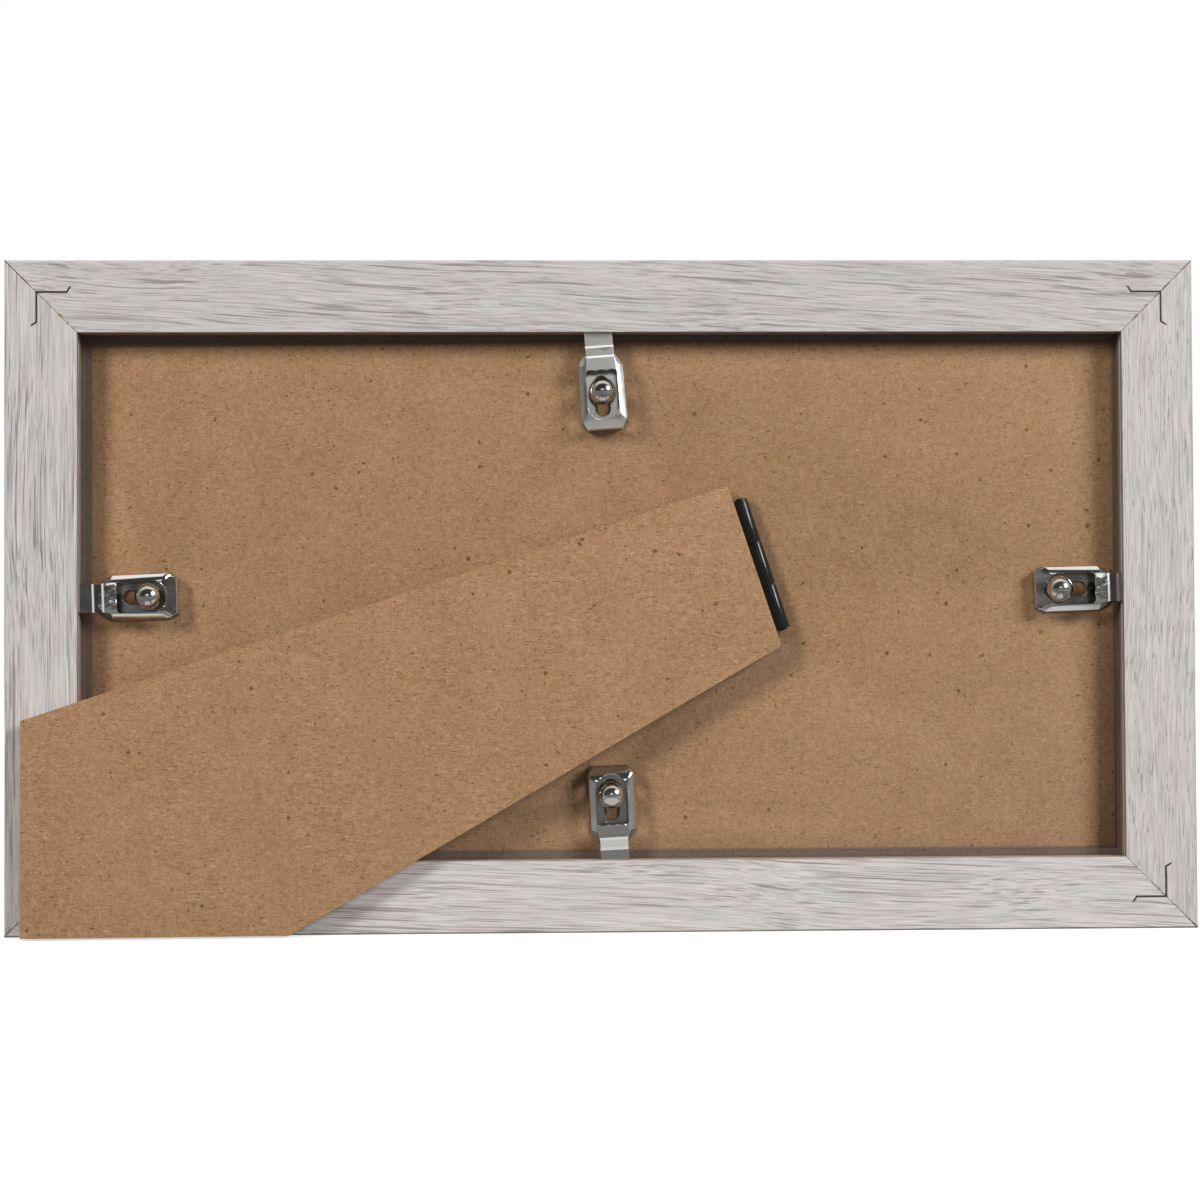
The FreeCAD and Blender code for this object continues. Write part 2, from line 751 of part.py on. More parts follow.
def build():
    """Make every node of the frame and return them by name."""
    sides = ("top", "right", "bottom", "left")
    nails = make_corner_nails()
    nodes = {"corner_v_nails": nails}
    nodes.update(make_rails(nails))
    nodes.update(make_panes())
    nodes["clip_rivets"] = group("clip_rivets", [make_clip_rivet(side) for side in sides])
    nodes.update({f"{side}_clip": make_clip(side) for side in sides})
    nodes["board_leaf_rivets"] = make_board_rivets()
    nodes["strut_leaf_nails"] = make_strut_nails()
    fixings = group("board_fixings", [nodes["clip_rivets"], nodes["board_leaf_rivets"]])
    nodes["backboard"] = make_backboard(fixings)
    nodes["board_leaf"] = cut("board_leaf", make_board_leaf(), nodes["board_leaf_rivets"])
    nodes["strut_leaf"] = cut("strut_leaf", make_strut_leaf(), nodes["strut_leaf_nails"])
    nodes["easel_strut"] = cut("easel_strut", make_strut(), nodes["strut_leaf_nails"])
    nodes["hinge_pin"] = make_pin()
    doc.recompute()
    return nodes


def check(nodes):
    """Stop on any object that failed, or any node without a sound solid."""
    failed = [item.Name for item in doc.Objects if {"Invalid", "Error"} & set(item.State)]
    if failed:
        raise RuntimeError("failed objects: " + ", ".join(failed))
    for name, item in nodes.items():
        if item.Shape.isNull() or not item.Shape.isValid() or not item.Shape.Solids:
            raise RuntimeError("no sound solid in " + name)


def export(nodes):
    os.makedirs("parts", exist_ok=True)
    for name, item in nodes.items():
        item.Label = name
        item.Shape.exportStep(f"parts/{name}.step")
        box = item.Shape.BoundBox
        print(f"{name}: {len(item.Shape.Solids)} solids, {item.Shape.Volume:.2f} mm3, "
              f"{box.XLength:.2f} x {box.YLength:.2f} x {box.ZLength:.2f} mm, lowest {box.ZMin:.2f}")


frame_nodes = build()
check(frame_nodes)
export(frame_nodes)
print(f"closed strut tilt {value('closed_tilt'):.3f} degrees")
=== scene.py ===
import math

import bmesh
import bpy
from mathutils import Matrix, Vector, noise


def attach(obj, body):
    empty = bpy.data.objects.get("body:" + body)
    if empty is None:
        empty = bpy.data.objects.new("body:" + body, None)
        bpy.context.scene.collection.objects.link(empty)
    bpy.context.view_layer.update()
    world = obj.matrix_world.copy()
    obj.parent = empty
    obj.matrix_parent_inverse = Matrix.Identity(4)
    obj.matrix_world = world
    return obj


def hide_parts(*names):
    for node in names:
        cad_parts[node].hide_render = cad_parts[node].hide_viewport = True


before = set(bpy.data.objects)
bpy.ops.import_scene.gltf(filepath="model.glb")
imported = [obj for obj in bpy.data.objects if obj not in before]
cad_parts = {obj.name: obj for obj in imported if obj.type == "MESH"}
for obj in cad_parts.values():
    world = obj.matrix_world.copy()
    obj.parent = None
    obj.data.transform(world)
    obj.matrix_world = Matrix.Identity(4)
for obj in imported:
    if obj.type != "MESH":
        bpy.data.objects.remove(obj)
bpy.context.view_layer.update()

mm = 0.001                                   # every size below is in millimetres, as in the CAD
boardFace = -2.0                             # back of the backboard, along Y
white = (1.0, 1.0, 1.0, 1.0)
black = (0.0, 0.0, 0.0, 1.0)
print("frame loaded:", len(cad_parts), "nodes")


# Node helpers.
def addNode(tree, kind, inputs=None, **settings):
    node = tree.nodes.new(kind)
    for key, value in settings.items():
        setattr(node, key, value)
    for key, value in (inputs or {}).items():
        if isinstance(value, bpy.types.NodeSocket):
            tree.links.new(value, node.inputs[key])
        else:
            node.inputs[key].default_value = value
    return node


def sumUp(tree, operation, a, b=0.0, c=None):
    inputs = {0: a, 1: b}
    if c is not None:
        inputs[2] = c
    return addNode(tree, "ShaderNodeMath", inputs, operation=operation).outputs[0]


def times(tree, a, b):
    return sumUp(tree, "MULTIPLY", a, b)


def minus(tree, a, b):
    return sumUp(tree, "SUBTRACT", a, b)


def blendColors(tree, factor, a, b, mode="MIX"):
    inputs = {0: factor, 6: a, 7: b}
    return addNode(tree, "ShaderNodeMix", inputs, data_type="RGBA", blend_type=mode).outputs[2]


def mixFloat(tree, factor, a, b):
    return addNode(tree, "ShaderNodeMix", {0: factor, 2: a, 3: b}, data_type="FLOAT").outputs[0]


def spread(tree, value, low, high, newLow=0.0, newHigh=1.0):
    inputs = {0: value, 1: low, 2: high, 3: newLow, 4: newHigh}
    return addNode(tree, "ShaderNodeMapRange", inputs, clamp=True).outputs[0]


# 1 between low and high, 0 outside, with a soft edge.
def windowOf(tree, value, low, high, soft):
    return times(tree, spread(tree, value, low - soft, low + soft), spread(tree, value, high + soft, high - soft))


def noiseOf(tree, vector, scale, detail=2.0, roughness=0.5, distortion=0.0):
    inputs = {"Vector": vector, "Scale": scale, "Detail": detail, "Roughness": roughness, "Distortion": distortion}
    return addNode(tree, "ShaderNodeTexNoise", inputs).outputs["Fac"]


def mapped(tree, vector, scale=(1, 1, 1), turn=(0, 0, 0), shift=(0, 0, 0)):
    inputs = {"Vector": vector, "Scale": scale, "Rotation": [math.radians(a) for a in turn], "Location": shift}
    return addNode(tree, "ShaderNodeMapping", inputs).outputs[0]


def partsOf(tree, vector):
    return addNode(tree, "ShaderNodeSeparateXYZ", {0: vector}).outputs


def vectorMath(tree, operation, a, b=None):
    inputs = {0: a} if b is None else {0: a, 1: b}
    return addNode(tree, "ShaderNodeVectorMath", inputs, operation=operation).outputs


def newGroup(name, inputs, outputs):
    tree = bpy.data.node_groups.new(name, "ShaderNodeTree")
    for socket, kind, default in inputs:
        item = tree.interface.new_socket(socket, in_out="INPUT", socket_type="NodeSocket" + kind)
        if default is not None:
            item.default_value = default
    for socket, kind in outputs:
        tree.interface.new_socket(socket, in_out="OUTPUT", socket_type="NodeSocket" + kind)
    return tree, tree.nodes.new("NodeGroupInput").outputs, tree.nodes.new("NodeGroupOutput").inputs


def placeGroup(tree, group, **inputs):
    node = tree.nodes.new("ShaderNodeGroup")
    node.node_tree = group
    for key, value in inputs.items():
        if isinstance(value, bpy.types.NodeSocket):
            tree.links.new(value, node.inputs[key])
        else:
            node.inputs[key].default_value = value
    return node.outputs


def newMaterial(name, **plain):
    material = bpy.data.materials.new(name)
    material.use_nodes = True
    tree = material.node_tree
    shader = tree.nodes["Principled BSDF"]
    for key, value in plain.items():
        shader.inputs[key].default_value = value
    place = addNode(tree, "ShaderNodeTexCoord").outputs["Object"]
    inMm = mapped(tree, place, scale=(1 / mm, 1 / mm, 1 / mm))
    return material, tree, shader, inMm


def bumpOn(tree, shader, height, strength, distance):
    bump = addNode(tree, "ShaderNodeBump", {"Height": height, "Strength": strength, "Distance": distance * mm})
    tree.links.new(bump.outputs[0], shader.inputs["Normal"])


def linear(c):
    c = c / 255
    return c / 12.92 if c <= 0.04045 else ((c + 0.055) / 1.055) ** 2.4


def srgb(r, g, b):
    return (linear(r), linear(g), linear(b), 1.0)


def toned(color, tone):
    return tuple(c * tone for c in color[:3]) + (1.0,)


# Hardboard. Noise layers: scale, detail, roughness, the band of noise that counts,
# and its share in the mottled ground.
fibreLayers = dict(
    mottle=dict(scale=0.9, detail=4, rough=0.75, band=(0.36, 0.64), share=0.42),
    fine=dict(scale=2.6, detail=2, rough=0.7, band=(0.36, 0.64), share=0.4),
    clouds=dict(scale=0.09, detail=3, rough=0.5, band=(0.3, 0.7), share=0.18),
)
fibreBlush = dict(scale=0.28, detail=3, rough=0.6, band=(0.42, 0.58), tint=(1.015, 0.985, 1.03, 1.0))
# Strands: their lean, how they are drawn out along and across, and where dark and pale begin.
fibreStrands = (
    (6, 0.75, 3.6, 0.36, 0.65),
    (-32, 0.7, 3.0, 0.335, 0.66),
    (63, 0.65, 2.8, 0.33, 0.67),
    (118, 0.4, 3.4, 0.32, 0.65),
)
strandLook = dict(apart=40, wave=0.4, rough=0.55, darkBand=(0.03, -0.07), dark=0.5, paleBand=0.1, pale=0.45)
# Specks: cell scale, largest size in cells, share of cells without one, how dark.
fibreSpecks = ((0.95, 0.28, 0.62, 0.5), (0.42, 0.19, 0.6, 0.75), (0.15, 0.075, 0.4, 0.95))
speckLook = dict(raggedScale=1.8, blur=0.04, depth=0.3)


# Pressed wood fibre: blotchy ground, short crossing strands, dark bark specks.
def makeFibreGroup():
    tree, given, out = newGroup(
        "pressedFibre",
        [("Vector", "Vector", None), ("Ground", "Color", None), ("Shade", "Color", None),
         ("Pale fibre", "Color", None), ("Speck", "Color", None)],
        [("Color", "Color"), ("Height", "Float")])
    place = given["Vector"]

    def layerOf(look):
        return spread(tree, noiseOf(tree, place, look["scale"], look["detail"], look["rough"]), *look["band"])

    shade = None
    for look in fibreLayers.values():
        part = times(tree, layerOf(look), look["share"])
        shade = part if shade is None else sumUp(tree, "ADD", shade, part)
    color = blendColors(tree, shade, given["Shade"], given["Ground"])
    color = blendColors(tree, layerOf(fibreBlush), color, fibreBlush["tint"], "MULTIPLY")
    height = shade
    darkFrom, darkTo = strandLook["darkBand"]
    for turn, along, across, low, high in fibreStrands:
        shift = (turn, 0, along * strandLook["apart"])
        strands = mapped(tree, place, scale=(along, 1, across), turn=(0, turn, 0), shift=shift)
        strands = noiseOf(tree, strands, 1.0, 2, strandLook["rough"], strandLook["wave"])
        dark = spread(tree, strands, low + darkFrom, low + darkTo, 0.0, strandLook["dark"])
        color = blendColors(tree, dark, color, given["Speck"])
        pale = spread(tree, strands, high, high + strandLook["paleBand"], 0.0, strandLook["pale"])
        color = blendColors(tree, pale, color, given["Pale fibre"])
        height = sumUp(tree, "ADD", height, minus(tree, pale, dark))
    inputs = {"Vector": place, "Scale": speckLook["raggedScale"], "Detail": 2.0}
    ragged = addNode(tree, "ShaderNodeTexNoise", inputs).outputs["Color"]
    wobble = vectorMath(tree, "ADD", ragged, place)[0]
    for scale, reach, share, depth in fibreSpecks:
        cells = addNode(tree, "ShaderNodeTexVoronoi", {"Vector": wobble, "Scale": scale}, feature="F1")
        chosen = addNode(tree, "ShaderNodeSeparateColor", {0: cells.outputs["Color"]}).outputs
        size = spread(tree, chosen[0], share, 1.0, 0.0, reach)
        spot = spread(tree, minus(tree, size, cells.outputs["Distance"]), 0.0, speckLook["blur"], 0.0, depth)
        color = blendColors(tree, spot, color, given["Speck"])
        height = minus(tree, height, times(tree, spot, speckLook["depth"]))
    tree.links.new(color, out["Color"])
    tree.links.new(height, out["Height"])
    return tree


# Printed foil. Layers: drawn out along and across the grain, the band of noise that counts, and how much of it shows.
grainSway = dict(along=0.014, across=0.05, reach=6.0)
grainLayers = dict(
    tint=dict(along=0.09, across=0.24, band=(0.43, 0.57), detail=3, rough=0.65),
    bands=dict(along=0.022, across=0.55, band=(0.36, 0.6), detail=2, most=0.3),
    cluster=dict(along=0.06, across=0.2, band=(0.38, 0.54), detail=2, least=0.3),
    long=dict(along=0.028, across=2.0, band=(0.4, 0.31)),
    thin=dict(along=0.045, across=4.2, band=(0.46, 0.34), most=0.8),
    pores=dict(along=0.28, across=3.4, band=(0.4, 0.3), detail=2),
    haze=dict(along=0.14, across=5.2, band=(0.52, 0.32), detail=2, most=0.34),
    flashes=dict(along=0.07, across=2.6, band=(0.56, 0.7), detail=2, most=0.5),
)


# Printed oak-grain foil. The grain runs along X of the vector it is given.
def makeGrainGroup():
    tree, given, out = newGroup(
        "oakGrain",
        [("Vector", "Vector", None), ("Cool", "Color", None), ("Warm", "Color", None), ("Grain", "Color", None),
         ("Flash", "Color", None), ("Lines", "Float", 0.8), ("Pores", "Float", 0.5)],
        [("Color", "Color"), ("Height", "Float")])
    place = given["Vector"]

    def drawnOut(along, across, detail=1.0, rough=0.5):
        return noiseOf(tree, mapped(tree, place, scale=(along, across, across)), 1.0, detail, rough)

    def layerOf(along, across, band, detail=1.0, rough=0.5, least=0.0, most=1.0):
        return spread(tree, drawnOut(along, across, detail, rough), *band, least, most)

    sway = times(tree, drawnOut(grainSway["along"], grainSway["across"]), grainSway["reach"])
    swayed = addNode(tree, "ShaderNodeCombineXYZ", {1: sway, 2: sway}).outputs[0]
    place = vectorMath(tree, "ADD", place, swayed)[0]
    layers = {name: layerOf(**look) for name, look in grainLayers.items()}
    color = blendColors(tree, layers["tint"], given["Cool"], given["Warm"])
    color = blendColors(tree, layers["bands"], color, given["Flash"])
    long = times(tree, layers["long"], given["Lines"])
    thin = times(tree, times(tree, layers["thin"], layers["cluster"]), given["Lines"])
    pores = times(tree, layers["pores"], given["Pores"])
    dark = sumUp(tree, "MAXIMUM", sumUp(tree, "MAXIMUM", long, thin), pores)
    color = blendColors(tree, dark, color, given["Grain"])
    color = blendColors(tree, layers["haze"], color, given["Grain"])
    color = blendColors(tree, layers["flashes"], color, given["Flash"])
    tree.links.new(color, out["Color"])
    tree.links.new(minus(tree, 1.0, dark), out["Height"])
    return tree


# The open mitre line, its chips, and the painted shade on the opening's walls. Places along a mitre count in from the
# frame's outer side.
mitreWearAndWallShade = dict(
    outer=(9.0, 6.0), outerShare=(0.45, 0.95), blur=0.11,
    widthScale=0.5, widthBand=(0.35, 0.65), widthShare=(0.2, 2.2),
    chipsFrom=(6.5, 8.5), chipsTo=(14.5, 12.5), patchScale=0.55, patchBand=(0.52, 0.68),
    raggedScale=1.1, raggedBand=(0.35, 0.65), raggedShare=(0.0, 1.2), chipBlur=0.12,
    wallBlur=-0.12, lipBlur=0.05, deepRagged=0.6,
)


# Open line along each mitre, small chips beside its inner half, and painted shade on the walls of the opening, darker
# deeper in.
# It reads places in millimetres.
def makeMitreGroup():
    tree, given, out = newGroup(
        "mitreWearAndWallShade",
        [("Vector", "Vector", None), ("Half width", "Float", 117.2), ("Half height", "Float", 66.2),
         ("Rail width", "Float", 14.2), ("Lip back", "Float", 3.4), ("Line", "Float", 0.06), ("Chips", "Float", 0.5),
         ("Deep from", "Float", -4.4), ("Deep to", "Float", -2.4)],
        [("Gap", "Float"), ("Chip", "Float"), ("Wall", "Float"), ("Deep", "Float")])
    look = mitreWearAndWallShade
    place = given["Vector"]
    parts = partsOf(tree, place)
    fromSide = minus(tree, given["Half width"], sumUp(tree, "ABSOLUTE", parts[0]))
    level = minus(tree, parts[2], given["Half height"])
    fromEnd = minus(tree, given["Half height"], sumUp(tree, "ABSOLUTE", level))
    apart = sumUp(tree, "ABSOLUTE", minus(tree, fromSide, fromEnd))
    ragged = noiseOf(tree, place, look["raggedScale"], 3)
    width = spread(tree, noiseOf(tree, place, look["widthScale"], 2), *look["widthBand"], *look["widthShare"])
    width = times(tree, given["Line"], width)
    gap = spread(tree, minus(tree, apart, width), look["blur"], 0.0)
    outer = spread(tree, spread(tree, fromSide, *look["outer"]), 0.0, 1.0, *look["outerShare"])
    tree.links.new(times(tree, gap, outer), out["Gap"])
    inner = times(tree, spread(tree, fromSide, *look["chipsFrom"]), spread(tree, fromSide, *look["chipsTo"]))
    patchy = spread(tree, noiseOf(tree, place, look["patchScale"], 1), *look["patchBand"])
    reach = times(tree, times(tree, inner, patchy), given["Chips"])
    reach = times(tree, reach, spread(tree, ragged, *look["raggedBand"], *look["raggedShare"]))
    tree.links.new(spread(tree, minus(tree, reach, apart), 0.0, look["chipBlur"]), out["Chip"])
    inside = minus(tree, sumUp(tree, "MINIMUM", fromSide, fromEnd), given["Rail width"])
    behindLip = spread(tree, minus(tree, given["Lip back"], parts[1]), 0.0, look["lipBlur"])
    wall = times(tree, spread(tree, inside, look["wallBlur"], 0.0), behindLip)
    tree.links.new(wall, out["Wall"])
    depth = sumUp(tree, "ADD", parts[1], times(tree, ragged, look["deepRagged"]))
    tree.links.new(times(tree, wall, spread(tree, depth, given["Deep from"], given["Deep to"])), out["Deep"])
    return tree


scuffLook = dict(
    cloudScale=0.35, cloudShare=0.6, streakScale=(0.5, 3.2, 4.0), streakTurn=(20, 35, 10), streakShare=0.4,
    rough=0.6, band=(0.35, 0.65), fineScale=2.6, fineShare=0.35,
)


# Fine scuffs and finger marks that vary a metal's or a pane's gloss.
def makeScuffGroup():
    tree, given, out = newGroup(
        "scuffs",
        [("Vector", "Vector", None), ("Low", "Float", 0.1), ("High", "Float", 0.3), ("Size", "Float", 1.0)],
        [("Roughness", "Float"), ("Height", "Float")])
    look = scuffLook
    inputs = {0: given["Vector"], 3: given["Size"]}
    place = addNode(tree, "ShaderNodeVectorMath", inputs, operation="SCALE").outputs[0]
    clouds = noiseOf(tree, place, look["cloudScale"], 3, look["rough"])
    streaks = mapped(tree, place, scale=look["streakScale"], turn=look["streakTurn"])
    streaks = noiseOf(tree, streaks, 1.0, 3, look["rough"])
    both = sumUp(tree, "ADD", times(tree, clouds, look["cloudShare"]), times(tree, streaks, look["streakShare"]))
    tree.links.new(spread(tree, both, *look["band"], given["Low"], given["High"]), out["Roughness"])
    fine = times(tree, noiseOf(tree, place, look["fineScale"], 2), look["fineShare"])
    tree.links.new(sumUp(tree, "ADD", both, fine), out["Height"])
    return tree


fibreGroup = makeFibreGroup()
grainGroup = makeGrainGroup()
mitreGroup = makeMitreGroup()
scuffGroup = makeScuffGroup()

# Foil: its printed colours, what a mitre shows, and the painted shade on the inner walls, browner and darker deeper
# in, in screen colours.
foilLook = dict(
    cool=(190, 188, 184), warm=(197, 188, 185), grain=(116, 106, 103), flash=(212, 208, 205),
    gap=(44, 34, 30), core=(158, 132, 110),
    wall=(0.68, 0.54, 0.46), deepShade=(0.5, 0.46, 0.42),
    roughness=0.46, bump=0.3, bumpDepth=0.06,
)
# How pale each rail's foil is, the bottom rail's paler tone being painted light, and how pale the painted shade on
# its inner wall is, how strong its long lines and short pores are, how its grain is turned, and where it is cut from.
foilRails = dict(
    top_rail=dict(tone=1.0, wall=1.5, lines=0.66, pores=0.4, turn=(0, -3.5, 0), shift=(0, 0, 0)),
    bottom_rail=dict(tone=1.14, wall=1.05, lines=0.7, pores=0.3, turn=(0, -3.0, 0), shift=(83, 0, 29)),
    left_rail=dict(tone=1.03, wall=0.95, lines=0.8, pores=0.25, turn=(0, 90, 0), shift=(11, 0, 57)),
    right_rail=dict(tone=1.06, wall=0.62, lines=0.4, pores=0.75, turn=(0, 89, 0), shift=(151, 0, 93)),
)


def makeFoilMaterial(name, tone, wall, lines, pores, turn, shift):
    material, tree, shader, place = newMaterial(name, Roughness=foilLook["roughness"])
    along = mapped(tree, place, turn=turn, shift=shift)
    inks = {key.capitalize(): toned(srgb(*foilLook[key]), tone) for key in ("cool", "warm", "grain", "flash")}
    grain = placeGroup(tree, grainGroup, Vector=along, Lines=lines, Pores=pores, **inks)
    wearAndShade = placeGroup(tree, mitreGroup, Vector=place)
    # painted shade: the inner walls are browned and darkened, more so deeper in
    wallShadeTint = tuple(min(c * wall, 1.0) for c in foilLook["wall"]) + (1.0,)
    color = blendColors(tree, wearAndShade["Wall"], grain["Color"], wallShadeTint, "MULTIPLY")
    color = blendColors(tree, wearAndShade["Deep"], color, foilLook["deepShade"] + (1.0,), "MULTIPLY")
    color = blendColors(tree, wearAndShade["Chip"], color, srgb(*foilLook["core"]))
    color = blendColors(tree, wearAndShade["Gap"], color, srgb(*foilLook["gap"]))
    tree.links.new(color, shader.inputs["Base Color"])
    sunk = sumUp(tree, "ADD", wearAndShade["Gap"], wearAndShade["Chip"])
    bumpOn(tree, shader, minus(tree, grain["Height"], sunk), foilLook["bump"], foilLook["bumpDepth"])
    return material


# rim: the colour of the painted shade along the backboard's edge, next to the rails
boardLook = dict(
    ground=(174, 139, 105), shade=(134, 99, 62), pale=(205, 174, 138), speck=(76, 47, 26), edge=(200, 168, 134),
    rim=(104, 89, 78), roughness=0.74, bump=0.35, bumpDepth=0.05, cutFacing=(0.95, 0.6),
)
# The backboard's outline, how far the dark band of painted shade along its edge reaches in at the left, along the top
# and elsewhere, and how far in from its edge a softer painted shade darkens the board a little.
boardEdgeShade = dict(
    left=-102.05, right=102.55, top=117.0, bottom=15.5,
    leftRim=0.95, topRim=(1.15, 0.15), topRun=(-102.0, -5.0), otherRim=0.3, blur=0.3, share=0.85,
    softShadeReach=5.0, softShade=0.12,
)
strutLook = dict(tone=1.07, shift=(37, 0, 61), cutEdges=0.8)
# colours of the card in the gap, darker than the board: painted shade
gapShadeLook = dict(ground=(116, 101, 90), shade=(88, 74, 64), pale=(134, 118, 104), speck=(60, 46, 36),
                 roughness=0.8, bump=0.3, bumpDepth=0.05)


def placeFibre(tree, place, look, tone=1.0):
    sockets = {"Ground": "ground", "Shade": "shade", "Pale fibre": "pale", "Speck": "speck"}
    inks = {socket: toned(srgb(*look[key]), tone) for socket, key in sockets.items()}
    return placeGroup(tree, fibreGroup, Vector=place, **inks)


# Painted shade along the backboard's edges: a soft darkening near them and a dark band at them, widest at the top
# left.
def paintShadeAlongEdges(tree, place, color, rim, rimShadeColor):
    parts = partsOf(tree, place)
    fromLeft = minus(tree, parts[0], rim["left"])
    fromTop = minus(tree, rim["top"], parts[2])
    others = sumUp(tree, "MINIMUM", minus(tree, rim["right"], parts[0]), minus(tree, parts[2], rim["bottom"]))
    nearest = sumUp(tree, "MINIMUM", sumUp(tree, "MINIMUM", fromLeft, fromTop), others)
    color = blendColors(tree, spread(tree, nearest, rim["softShadeReach"], 0.0, 0.0, rim["softShade"]), color, black)
    topRim = spread(tree, parts[0], *rim["topRun"], *rim["topRim"])
    inside = sumUp(tree, "MINIMUM", minus(tree, fromLeft, rim["leftRim"]), minus(tree, fromTop, topRim))
    inside = sumUp(tree, "MINIMUM", inside, minus(tree, others, rim["otherRim"]))
    return blendColors(tree, spread(tree, inside, rim["blur"], 0.0, 0.0, rim["share"]), color, rimShadeColor)


def makeBoardMaterial(name, tone=1.0, shift=(0, 0, 0), rim=None, cutEdges=0.0):
    material, tree, shader, place = newMaterial(name, Roughness=boardLook["roughness"])
    fibre = placeFibre(tree, mapped(tree, place, shift=shift), boardLook, tone)
    color = fibre["Color"]
    if cutEdges:
        facing = partsOf(tree, addNode(tree, "ShaderNodeTexCoord").outputs["Normal"])[1]
        cut = spread(tree, sumUp(tree, "ABSOLUTE", facing), *boardLook["cutFacing"], 0.0, cutEdges)
        color = blendColors(tree, cut, color, toned(srgb(*boardLook["edge"]), tone))
    if rim:
        color = paintShadeAlongEdges(tree, place, color, rim, toned(srgb(*boardLook["rim"]), tone))
    tree.links.new(color, shader.inputs["Base Color"])
    bumpOn(tree, shader, fibre["Height"], boardLook["bump"], boardLook["bumpDepth"])
    return material


# The gap card's fibre, in its painted-shade colours.
def makeGapShadeMaterial():
    material, tree, shader, place = newMaterial("gapShadeCard", Roughness=gapShadeLook["roughness"])
    fibre = placeFibre(tree, place, gapShadeLook)
    tree.links.new(fibre["Color"], shader.inputs["Base Color"])
    bumpOn(tree, shader, fibre["Height"], gapShadeLook["bump"], gapShadeLook["bumpDepth"])
    return material


# Metals: colour, roughness from low to high, how large the scuffs are (more is finer), and how deep.
nickelColor = (0.72, 0.71, 0.68, 1.0)
metalLooks = dict(
    # the sole's nickel is darker than the plate's: painted shade under the plate
    shadedSolePlating=dict(color=(0.4, 0.41, 0.39, 1.0), low=0.1, high=0.28, size=0.8, bump=0.15),
    nickelBall=dict(color=(0.6, 0.58, 0.54, 1.0), low=0.1, high=0.22, size=1.0, bump=0.06),
    blackSteel=dict(color=(0.014, 0.0145, 0.017, 1.0), low=0.1, high=0.34, size=0.4, bump=0.3,
                    metallic=0.0, specular=0.27),
    nailSteel=dict(color=(0.03, 0.027, 0.026, 1.0), low=0.5, high=0.75, size=1.0, bump=0.2, metallic=0.0),
)
scuffDepth = 0.05


def makeMetalMaterial(name, color, low, high, size, bump, metallic=1.0, specular=0.5):
    material, tree, shader, place = newMaterial(name, Metallic=metallic, **{"Specular IOR Level": specular})
    shader.inputs["Base Color"].default_value = color
    scuffs = placeGroup(tree, scuffGroup, Vector=place, Low=low, High=high, Size=size)
    tree.links.new(scuffs["Roughness"], shader.inputs["Roughness"])
    bumpOn(tree, shader, scuffs["Height"], bump, scuffDepth)
    return material


glassLook = dict(color=(0.93, 0.97, 0.96, 1.0), ior=1.5, low=0.0, high=0.03, size=0.1)


def makeGlassMaterial():
    material, tree, shader, place = newMaterial("clearGlass", IOR=glassLook["ior"])
    shader.inputs["Base Color"].default_value = glassLook["color"]
    shader.inputs["Transmission Weight"].default_value = 1.0
    low, high, size = (glassLook[key] for key in ("low", "high", "size"))
    marks = placeGroup(tree, scuffGroup, Vector=place, Low=low, High=high, Size=size)
    tree.links.new(marks["Roughness"], shader.inputs["Roughness"])
    return material


paperLook = dict(low=(226, 224, 218), high=(240, 238, 233), scale=1.6, detail=4, rough=0.6, band=(0.3, 0.7),
                 roughness=0.8, bump=0.25, bumpDepth=0.05)


def makePaperMaterial():
    material, tree, shader, place = newMaterial("whitePaper", Roughness=paperLook["roughness"])
    tooth = noiseOf(tree, place, paperLook["scale"], paperLook["detail"], paperLook["rough"])
    low, high = srgb(*paperLook["low"]), srgb(*paperLook["high"])
    color = blendColors(tree, spread(tree, tooth, *paperLook["band"]), low, high)
    tree.links.new(color, shader.inputs["Base Color"])
    bumpOn(tree, shader, tooth, paperLook["bump"], paperLook["bumpDepth"])
    return material


boardMaterial = makeBoardMaterial("backboardFibre", rim=boardEdgeShade)
strutMaterial = makeBoardMaterial("strutFibre", **strutLook)
gapShadeMaterial = makeGapShadeMaterial()
metals = [makeMetalMaterial(name, **look) for name, look in metalLooks.items()]
soleMaterial, ballMaterial, blackMaterial, nailMaterial = metals
glassMaterial = makeGlassMaterial()
paperMaterial = makePaperMaterial()
print("finishes made")


# Mesh helpers.
def finishPiece(name, shape, material, body, node=None, matrix=None, smooth=True):
    if matrix is not None:
        shape.transform(matrix)
    mesh = bpy.data.meshes.new(name)
    shape.to_mesh(mesh)
    shape.free()
    piece = bpy.data.objects.new(name, mesh)
    bpy.context.scene.collection.objects.link(piece)
    mesh.materials.append(material)
    if smooth:
        mesh.shade_smooth()
    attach(piece, body)
    if node:
        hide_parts(node)
    return piece


def dressNode(node, material):
    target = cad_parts[node]
    target.data.materials.clear()
    target.data.materials.append(material)
    return target


def newVerts(result):
    return [item for item in result["geom"] if isinstance(item, bmesh.types.BMVert)]


def newEdges(result):
    return [item for item in result["geom"] if isinstance(item, bmesh.types.BMEdge)]


copySizes = dict(mergeGap=0.002, flatWithin=1, segments=3, easeAbove=35)     # millimetres and degrees


